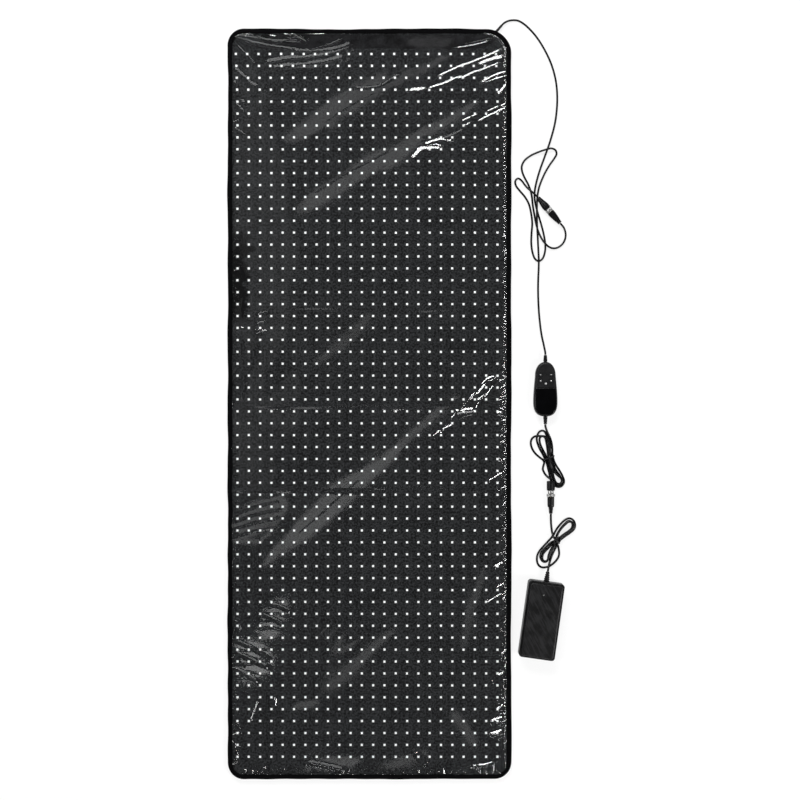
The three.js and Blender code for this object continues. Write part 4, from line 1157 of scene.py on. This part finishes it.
def build_mat_connector():
    socket = [(0, 3.1), (0.15, 3.5), (0.7, 4.1), (1.4, 4.5), (4, 4.75), (6, 5.0), (9, 5.5), (11, 5.9)]
    socket += [(11.5, 5.7), (12.1, 5.7), (12.6, 6.15), (14, 6.4), (17, 6.95), (20, 7.45), (23, 7.82), (25, 8)]
    socket += [(26, 8), (26.3, 7.75), (26.8, 7.75), (27.1, 8), (29.6, 8.0), (30.5, 7.8), (31, 7.3), (31, 6.3)]
    turned("mat_connector_shell", MAT_CONNECTOR, socket, "mat_head", "mat_connector_socket",
           bore=[(21.4, 5.6), (24.7, 5.6), (24.8, 6.3), (31, 6.3)])
    plated_parts("mat_connector", MAT_CONNECTOR, "mat_head", barrel=(25, 34.3, 5.9, 31.4), wall=5.2,
                 nut=(31.3, 40.7), nut_radius=7.6, way=6.3, around=96, cuts=(16, 0.55, 33, 39.1))
    plug = [(0, 6.5), (0.2, 7.2), (0.9, 7.65), (3, 7.7), (5, 7.6), (5.3, 7.35), (5.9, 7.35), (6.2, 7.6)]
    plug += [(8, 7.5), (12, 7.0), (16, 6.45), (20, 5.95), (23, 5.55)]
    plug += ribs(23.6, 30.2, 3, 5.3, 4.8) + [(30.5, 4.4), (31, 3.9)]
    turned("mat_connector_body", MAT_CONNECTOR, shifted(plug, 41), "mat_head", "mat_connector_plug",
           around=64, shape=flutes(12, 0.22, 49, 63))


def build_supply_connector():
    socket = [(0, 2.6), (0, 6.6), (0.3, 7.8), (1.2, 8.7), (2.2, 8.8), (9, 8.85), (16.4, 8.8), (16.7, 8.5)]
    socket += [(17.3, 8.5), (17.6, 8.8), (18.6, 8.75), (19.9, 8.2), (20.6, 7.5), (20.6, 6.9)]
    turned("supply_connector_shell", SUPPLY_CONNECTOR, socket, "mat_head", "supply_connector_socket",
           bore=[(10.6, 2.6), (14.4, 6.9), (20.6, 6.9)], around=64, shape=flutes(14, 0.18, 2.4, 16))
    plated_parts("supply_connector", SUPPLY_CONNECTOR, "mat_head", barrel=(14.6, 30.9, 6.5, 24.4), wall=5.8,
                 nut=(27.9, 33.3), nut_radius=9.2, way=6.9, around=120, cuts=(24, 0.5, 29.6, 31.8))
    plug = [(0, 6.3), (0.2, 6.9), (0.9, 7.35), (3, 7.4), (10, 7.36), (16, 7.3), (19, 7.15), (21, 6.85)]
    plug += [(22.4, 6.1)] + ribs(23.2, 35, 5, 5.2, 4.1) + [(35.3, 3.8), (36, 3.4)]
    turned("supply_connector_body", SUPPLY_CONNECTOR, shifted(plug, 33.6), "supply", "supply_connector_plug",
           around=64, shape=flutes(10, 0.2, 36, 52))


def build_tie(name, line, waist, heading, body, node):
    """A coated wire drawn round the strands at a hank's waist, its two ends twisted together on top."""
    ahead, aside = axes(heading)
    waist = np.array(waist) * MM
    there = line[np.abs((line[:, :2] - waist) @ ahead) < 0.003]
    across = (there[:, :2] - waist) @ aside
    kept = np.abs(across) < 0.0105
    grip = THICK / 2 + 0.0004
    low, high, top = across[kept].min() - grip, across[kept].max() + grip, there[kept][:, 2].max() + grip
    middle, half, floor = (low + high) / 2, (high - low) / 2, 0.0006
    rings = []
    for angle in turns(48):
        c, s = math.cos(angle), math.sin(angle)
        u = middle + half * math.copysign(abs(c) ** 0.8, c)
        z = (floor + top) / 2 + (top - floor) / 2 * math.copysign(abs(s) ** 0.8, s)
        ring = []
        for wide, tall in SQUARE:
            plan = waist + aside * (u + c * 0.0005 * tall) + ahead * 0.0013 * wide
            ring.append((*plan, max(0.0001, z + s * 0.0005 * tall)))
        rings.append(ring)
    parts = [lofted(rings, closed=True)]
    for phase in (0, math.pi):
        rings = []
        for k in range(40):
            run = k / 39 * 0.012
            wind = phase + run / 0.012 * 5 * math.pi
            plan = waist + aside * (middle - 0.003 + run * 0.35)
            plan = plan + ahead * (run * 0.8 + 0.0007 * math.cos(wind))
            z = top + 0.001 + 0.0006 * math.sin(wind)
            rings.append([
                (*(plan + aside * 0.0006 * math.cos(a)), z + 0.0006 * math.sin(a)) for a in turns(6)
            ])
        parts.append(lofted(rings))
    mesh_piece(name, *join_parts(parts), TIE, body, [node], sharp=50)


grommet = [(0, 2.6), (0.4, 3.2), (1, 3.4), (16, 3.4), (17.4, 3.25), (18.3, 2.95)]
grommet += ribs(19, 31, 5, 3.05, 2.8) + [(31.6, 2.7), (33.8, 2.55), (34.3, 2.4), (34.5, 2.25)]
turned("lead_boot", GROMMET, grommet, "mat_head", "lead_grommet")
build_mat_connector()
build_supply_connector()
build_tie("upper_tie", upper_supply_line, (383, -114.5), -70, "mat_head", "upper_hank_tie")
build_tie("lower_tie", lower_supply_line, (395.5, -288.5), 48, "supply", "lower_hank_tie")


# ---------- cases ----------
def upright(name, centre, radius, bottom, top):
    """A plain upright cylinder, used as a cutter. Its centre is in metres and its sizes in mm."""
    return mesh_piece(name, *lofted([circle(*centre, radius, z) for z in (bottom, top)]), CASE)


def level_rod(name, start, heading, height, radius, length):
    """A plain level cylinder, used as a cutter. Its start is in metres and its sizes in mm."""
    ahead, aside = axes(heading)
    rings = []
    for along in (0, length):
        end = np.array(start) + ahead * along * MM
        rings.append([
            (*(end + aside * radius * MM * math.cos(a)), (height + radius * math.sin(a)) * MM)
            for a in turns(32)
        ])
    return mesh_piece(name, *lofted(rings), CASE)


def shell(name, rings, cutters, body, node, finish=CASE, inward=False):
    """One half of a case, with the cutters taken out of it."""
    made = mesh_piece(name, *lofted(rings, inward=inward), finish)
    cut(made, *cutters)
    settle_in(made, body, [node])


def screw_head(x, y):
    """A cross-head screw in the underside, its head flush with the case."""
    rings = [circle(x, y, radius, height) for radius, height in ((1.9, 0.6), (1.9, 0.15), (1.6, 0.02))]
    for radius, height in ((1.3, 0.02), (1.1, 0.5)):
        ring = []
        for a in turns(32):
            arm = radius * (1 if abs(math.cos(2 * a)) > 0.86 else 0.42) * MM
            ring.append((x + arm * math.cos(a), y + arm * math.sin(a), height * MM))
        rings.append(ring)
    return lofted(rings, inward=True)


# ---------- controller ----------
def bezier(a, b, c, d, steps=14):
    t = np.linspace(0, 1, steps, endpoint=False)[:, None]
    a, b, c, d = (np.array(p, float) for p in (a, b, c, d))
    return (1 - t) ** 3 * a + 3 * (1 - t) ** 2 * t * b + 3 * (1 - t) * t**2 * c + t**3 * d


def on_controller(x, y):
    """A place in mm about the controller's centre, in the scene's metres."""
    return CONTROLLER.x + x * MM, CONTROLLER.y + y * MM


def controller_ring(inset, height):
    """The egg-shaped outline of the controller, drawn in by inset, in mm."""
    top, bottom = 58.4 - inset, -58.4 + inset
    s, h = 21.6 - inset, 25.5 - inset
    curves = [
        ((0, top), (-12, top), (-s, 46), (-s, 30)),
        ((-s, 30), (-s - 1.2, 12), (-h, -6), (-h, -28)),
        ((-h, -28), (-h, -49), (-17, bottom), (0, bottom)),
        ((0, bottom), (17, bottom), (h, -49), (h, -28)),
        ((h, -28), (h, -6), (s + 1.2, 12), (s, 30)),
        ((s, 30), (s, 46), (12, top), (0, top)),
    ]
    return [(*on_controller(x, y), height * MM) for x, y in np.vstack([bezier(*curve) for curve in curves])]


def window_rings(inset, levels):
    """Rings of the window's outline: the case's outline below its top edge, with that edge straight."""
    edge = CONTROLLER.y + (2.8 - (inset - 2.4)) * MM
    return [[(x, min(y, edge - extra * MM), z) for x, y, z in controller_ring(inset + extra, height)]
            for extra, height in levels]


# each button's place about the controller's centre, and the bars of its sign as x, y, width and height, in mm
BUTTONS = [
    ((-11.2, 30.4), [(0, 0, 2.0, 0.5), (0, 0, 0.5, 2.0)]),
    ((11.2, 30.4), [(0, 0, 2.4, 0.7)]),
    ((-11.2, 17.6), [(-0.7, 0, 0.6, 2.1), (0.7, 0, 0.6, 2.1)]),
    ((11.2, 17.6), [(0, 0, 2.0, 2.0)]),
    ((0, 11.8), [(0, 1.3, 0.7, 1.7)]),
]
POWER_BUTTON = 5


def bar(x, y, width, height):
    return lofted([[(*on_controller(x + u * width / 2, y + v * height / 2), z * MM) for u, v in SQUARE]
                   for z in (22.6, 22.86)])


def broken_ring(x, y):
    """The ring of the power sign, open at its top."""
    sections = []
    for angle in np.radians(np.linspace(130, 410, 25)):
        sections.append([
            (*on_controller(x + r * math.cos(angle), y + r * math.sin(angle)), z * MM)
            for r, z in ((1.1, 22.6), (1.8, 22.6), (1.8, 22.88), (1.1, 22.88))
        ])
    return lofted(sections)


def build_button(number, x, y, bars):
    """A round key with a dished top and its printed sign."""
    profile = [(5.5, 17), (5.6, 17.2), (5.6, 18.6), (4.7, 18.8), (4.6, 19.2), (4.6, 22.1)]
    profile += [(4.45, 22.6), (4.1, 22.88), (3.7, 22.9), (3.1, 22.78), (2, 22.7), (0.8, 22.66)]
    rings = [circle(*on_controller(x, y), radius, height, 36) for radius, height in profile]
    body = f"button_{number}"
    mesh_piece(f"key_{number}", *lofted(rings), BUTTON, body, [f"controller_button_{number}"])
    parts = [broken_ring(x, y)] if number == POWER_BUTTON else []
    parts += [bar(x + u, y + v, width, height) for u, v, width, height in bars]
    mesh_piece(f"sign_{number}", *join_parts(parts), GLYPH, body, (), "button_grey", sharp=30)


def build_controller():
    outer = [(4, 0), (3.2, 0.12), (1.9, 0.7), (0.9, 1.7), (0.25, 3.2), (0, 5), (0, 9.5)]
    outer += [(0.05, 11.1), (0.4, 11.8)]
    inner = [(2.2, 11.8), (2.2, 4.5), (3, 3), (5, 2.5)]
    lead_way = ("lead_way", on_controller(0, -80), 90, 11, 3.0, 160)
    rings = [controller_ring(*p) for p in outer + inner]
    shell("controller_underside_shell", rings, [level_rod(*lead_way)], "mat_head", "controller_base")

    outer = [(6.5, 22), (5.2, 21.95), (4.2, 21.7), (3.0, 21.1), (1.9, 20.1), (1.0, 18.8)]
    outer += [(0.35, 17), (0.05, 15), (0, 13.4), (0.05, 12.8), (0.4, 12.2)]
    inner = [(2.2, 12.2), (2.4, 16), (4, 18.6), (6.5, 19.5)]
    rings = [controller_ring(*p) for p in outer + inner]
    cutters = [level_rod(*lead_way)]
    cutters += [upright("button_way", on_controller(*place), 5.0, 18, 24) for place, _ in BUTTONS]
    cutters.append(mesh_piece("window_seat", *lofted(window_rings(2.3, [(0, 20.55), (0, 24)])), CASE))
    shell("controller_top_shell", rings, cutters, "mat_head", "controller_cover", inward=True)

    levels = [(0, 20.75), (0.05, 20.95), (0.5, 21.4), (1.2, 21.85), (2.2, 22.1), (3.6, 22.2), (7, 22.22)]
    glass = lofted(window_rings(2.5, levels))
    mesh_piece("controller_glass", *glass, WINDOW, "mat_head", ["controller_window"])
    for number, (place, bars) in enumerate(BUTTONS, 1):
        build_button(number, *place, bars)

    neck = [(-6, 4.4), (-4, 4.4), (-4, 2.7), (0.1, 2.7)]
    top = neck + [(0.15, 4.0), (0.8, 4.3), (2, 4.35), (5, 4.1), (9, 3.8), (12, 3.5), (13.4, 3.3)]
    top += [(14, 3.0), (14.2, 2.6)]
    foot = neck + [(0.15, 4.5), (0.6, 4.9), (1.6, 4.9), (2.2, 4.6)]
    foot += ribs(2.6, 15, 4, 4.7, 3.9) + [(15.4, 3.5), (16, 3.2), (16.2, 2.8)]
    for name, end, heading, profile, node in (
        ("controller_lead_boot", CONTROLLER_HALF, 90, top, "controller_top_boot"),
        ("controller_supply_boot", -CONTROLLER_HALF, -90, foot, "controller_foot_boot"),
    ):
        turned(name, ((CONTROLLER.x, CONTROLLER.y + end), heading, 0.011), profile, "mat_head", node)
    screws = [screw_head(*on_controller(*place)) for place in ((-14, 34), (14, 34), (-15, -38), (15, -38))]
    mesh_piece("controller_screws", *join_parts(screws), METAL, "mat_head")


build_controller()


# ---------- power supply ----------
def on_supply(x, y):
    """A place in mm in the power supply's own frame, in the scene's metres."""
    c, s = math.cos(SUPPLY_TURN), math.sin(SUPPLY_TURN)
    return SUPPLY.x + (c * x - s * y) * MM, SUPPLY.y + (s * x + c * y) * MM


def rounded_rectangle(width, length, corner, steps=7):
    ring = []
    for (cx, cy), start in zip(((1, 1), (-1, 1), (-1, -1), (1, -1)), (0, 90, 180, 270)):
        for k in range(steps + 1):
            angle = math.radians(start + 90 * k / steps)
            ring.append((
                cx * (width / 2 - corner) + corner * math.cos(angle),
                cy * (length / 2 - corner) + corner * math.sin(angle),
            ))
    return ring


def supply_rings(levels, width, length, corner):
    """Rings of a rounded block in the power supply's frame, each drawn in by an inset, at a height."""
    rings = []
    for inset, height in levels:
        plan = rounded_rectangle(width - 2 * inset, length - 2 * inset, max(1.0, corner - inset))
        rings.append([(*on_supply(x, y), height * MM) for x, y in plan])
    return rings


def build_supply():
    outer = [(2.2, 0), (1.1, 0.15), (0.4, 0.6), (0.05, 1.4), (0, 3), (0, 27.6)]
    outer += [(0.1, 28.7), (0.5, 29.5), (1.2, 30)]
    inner = [(7, 30), (7, 27.6), (2.4, 27.4), (2.4, 3), (3.2, 2.4)]
    inlet_way = [[(*on_supply(u * 14, v * 7 - 82), z * MM) for u, v in SQUARE] for z in (4.5, 25.5)]
    cutters = [mesh_piece("inlet_way", *lofted(inlet_way), CASE)]
    cutters.append(level_rod("lead_way", on_supply(0, 76), 82, 12, 4.2, 10))
    rings = supply_rings(outer + inner, 77, 164, 7)
    shell("supply_lower_shell", rings, cutters, "supply", "supply_base", SUPPLY_CASE)

    outer = [(3, 38), (1.8, 38), (0.8, 37.7), (0.2, 37), (0, 36.2), (0, 31.2), (0.05, 30.7), (0.5, 30.3)]
    inner = [(2.4, 30.3), (2.4, 35), (3.4, 35.6)]
    rings = supply_rings(outer + inner, 68, 155, 5.6)
    lamp_at = on_supply(-5, 55)
    cutters = [upright("lens_way", lamp_at, 1.75, 30, 40)]
    shell("supply_upper_shell", rings, cutters, "supply", "supply_cover", SUPPLY_CASE, inward=True)

    lens = [circle(*lamp_at, radius, height, 24)
            for radius, height in ((1.5, 32), (1.5, 37.9), (1.35, 38.15), (0.9, 38.28), (0.3, 38.3))]
    finish = moulded("indicator_lens", (0.09, 0.095, 0.09), 0.12, coat=0.3)
    mesh_piece("supply_lamp", *lofted(lens), finish, "supply", ["supply_indicator"])

    relief = [(-6.5, 6.2), (-6.3, 6.4), (-4, 6.4), (-4, 3.7), (0.1, 3.7), (0.15, 5.9), (0.5, 6.2), (1.9, 6.2)]
    relief += [(2.3, 5.9)] + ribs(2.8, 19.6, 4, 5.9, 4.3) + [(20, 3.5), (20.8, 3.2), (21.4, 2.8)]
    turned("supply_lead_relief", (on_supply(0, 82), 82, 0.012), relief, "supply", "supply_strain_relief")
    screws = [screw_head(*on_supply(x, y)) for x, y in ((-30, 74), (30, 74), (-30, -74), (30, -74))]
    mesh_piece("supply_screws", *join_parts(screws), METAL, "supply")


build_supply()


# ---------- carried-over CAD pieces ----------
def refinish(finish, *names):
    for name in names:
        mesh = NODES[name].data
        mesh.materials.clear()
        mesh.materials.append(finish)


refinish(moulded("red_wire", (0.45, 0.02, 0.015), 0.35), "bus_wire_positive")
refinish(moulded("black_wire", grey(0.012, 0.001), 0.35), "bus_wire_negative")
refinish(BLACK_RUBBER, "mat_connector_insert", "supply_connector_insert", "supply_inlet")
refinish(BRASS, "mat_connector_contacts", "supply_connector_contacts", "supply_inlet_blades")
refinish(circuit("circuit_board"), "controller_board", "supply_board")
refinish(moulded("display", (0.01, 0.012, 0.014), 0.15), "controller_display")
refinish(moulded("ferrite", grey(0.05, 0.005), 0.6), "supply_transformer")
refinish(moulded("capacitor_sleeve", (0.02, 0.05, 0.18), 0.3), "supply_capacitor")


# ---------- floor and light ----------
FLOOR_HALF, FLOOR_DROP, FLOOR_GLOW = 40, 0.0003, 0.81
BANDS_ABOVE = 3.6
DAYLIGHT = 0.08


def build_floor():
    made = Finish("floor_white")
    tone = made.blend(made.noise(3.0, 3.0), grey(0.15), grey(0.17))
    diffuse = made.node("ShaderNodeBsdfDiffuse", Color=tone)
    glow = made.node("ShaderNodeEmission", Strength=FLOOR_GLOW)
    finish = made.finish(made.joined("ShaderNodeAddShader", diffuse, glow))
    corners = [(FLOOR_HALF * u, FLOOR_HALF * v, -FLOOR_DROP) for u, v in SQUARE]
    mesh_piece("floor", corners, [(0, 1, 2, 3)], finish)


def lamp(name, shape, width, height, radiance):
    data = bpy.data.lights.new(name, "AREA")
    data.shape = shape
    data.size, data.size_y = width, height
    data.energy = radiance * math.pi * width * height * (math.pi / 4 if shape == "ELLIPSE" else 1)
    return linked(name, data)


def softbox(name, azimuth, tilt, distance, width, height, radiance, shape="RECTANGLE"):
    """A soft lamp seen from the mat's middle at azimuth, clockwise from +Y, and tilt from straight up."""
    made = lamp(name, shape, width, height, radiance)
    a, t = math.radians(azimuth), math.radians(tilt)
    away = Vector((math.sin(a) * math.sin(t), math.cos(a) * math.sin(t), math.cos(t)))
    made.location = Vector((*VIEW_CENTRE, 0)) + away * distance
    made.rotation_euler = away.to_track_quat("Z", "Y").to_euler()


def band(name, start, end, width, radiance):
    """A long oval lamp that flat film mirrors to the camera between two places on the mat, in mm."""
    beyond = BANDS_ABOVE / CAMERA_HEIGHT
    centre = np.array(VIEW_CENTRE)
    start, end = (np.array(place) * MM * (1 + beyond) - centre * beyond for place in (start, end))
    run = end - start
    made = lamp(f"band_{name}", "ELLIPSE", float(np.linalg.norm(run)), width * MM * (1 + beyond), radiance)
    made.location = (*((start + end) / 2), BANDS_ABOVE)
    made.rotation_euler = (0, 0, math.atan2(run[1], run[0]))


def build_light():
    softbox("key_top", -15, 47, 3.6, 2.9, 1.05, 19, "ELLIPSE")
    softbox("key_right", 118, 50, 3.4, 0.8, 1.4, 20)
    softbox("fill_left", -95, 52, 3.4, 0.9, 1.5, 7)
    softbox("soft_panel", 6, 36, 3.6, 2.6, 0.7, 2)
    softbox("fill_foot", 178, 56, 3.4, 2.0, 0.8, 5)
    for row in BANDS:
        band(*row)
    world = bpy.data.worlds.new("world")
    bpy.context.scene.world = world
    world.use_nodes = True
    background = world.node_tree.nodes["Background"]
    background.inputs["Color"].default_value = (1, 1, 1, 1)
    background.inputs["Strength"].default_value = DAYLIGHT
    bpy.context.scene.view_settings.view_transform = "Standard"


build_floor()
build_light()
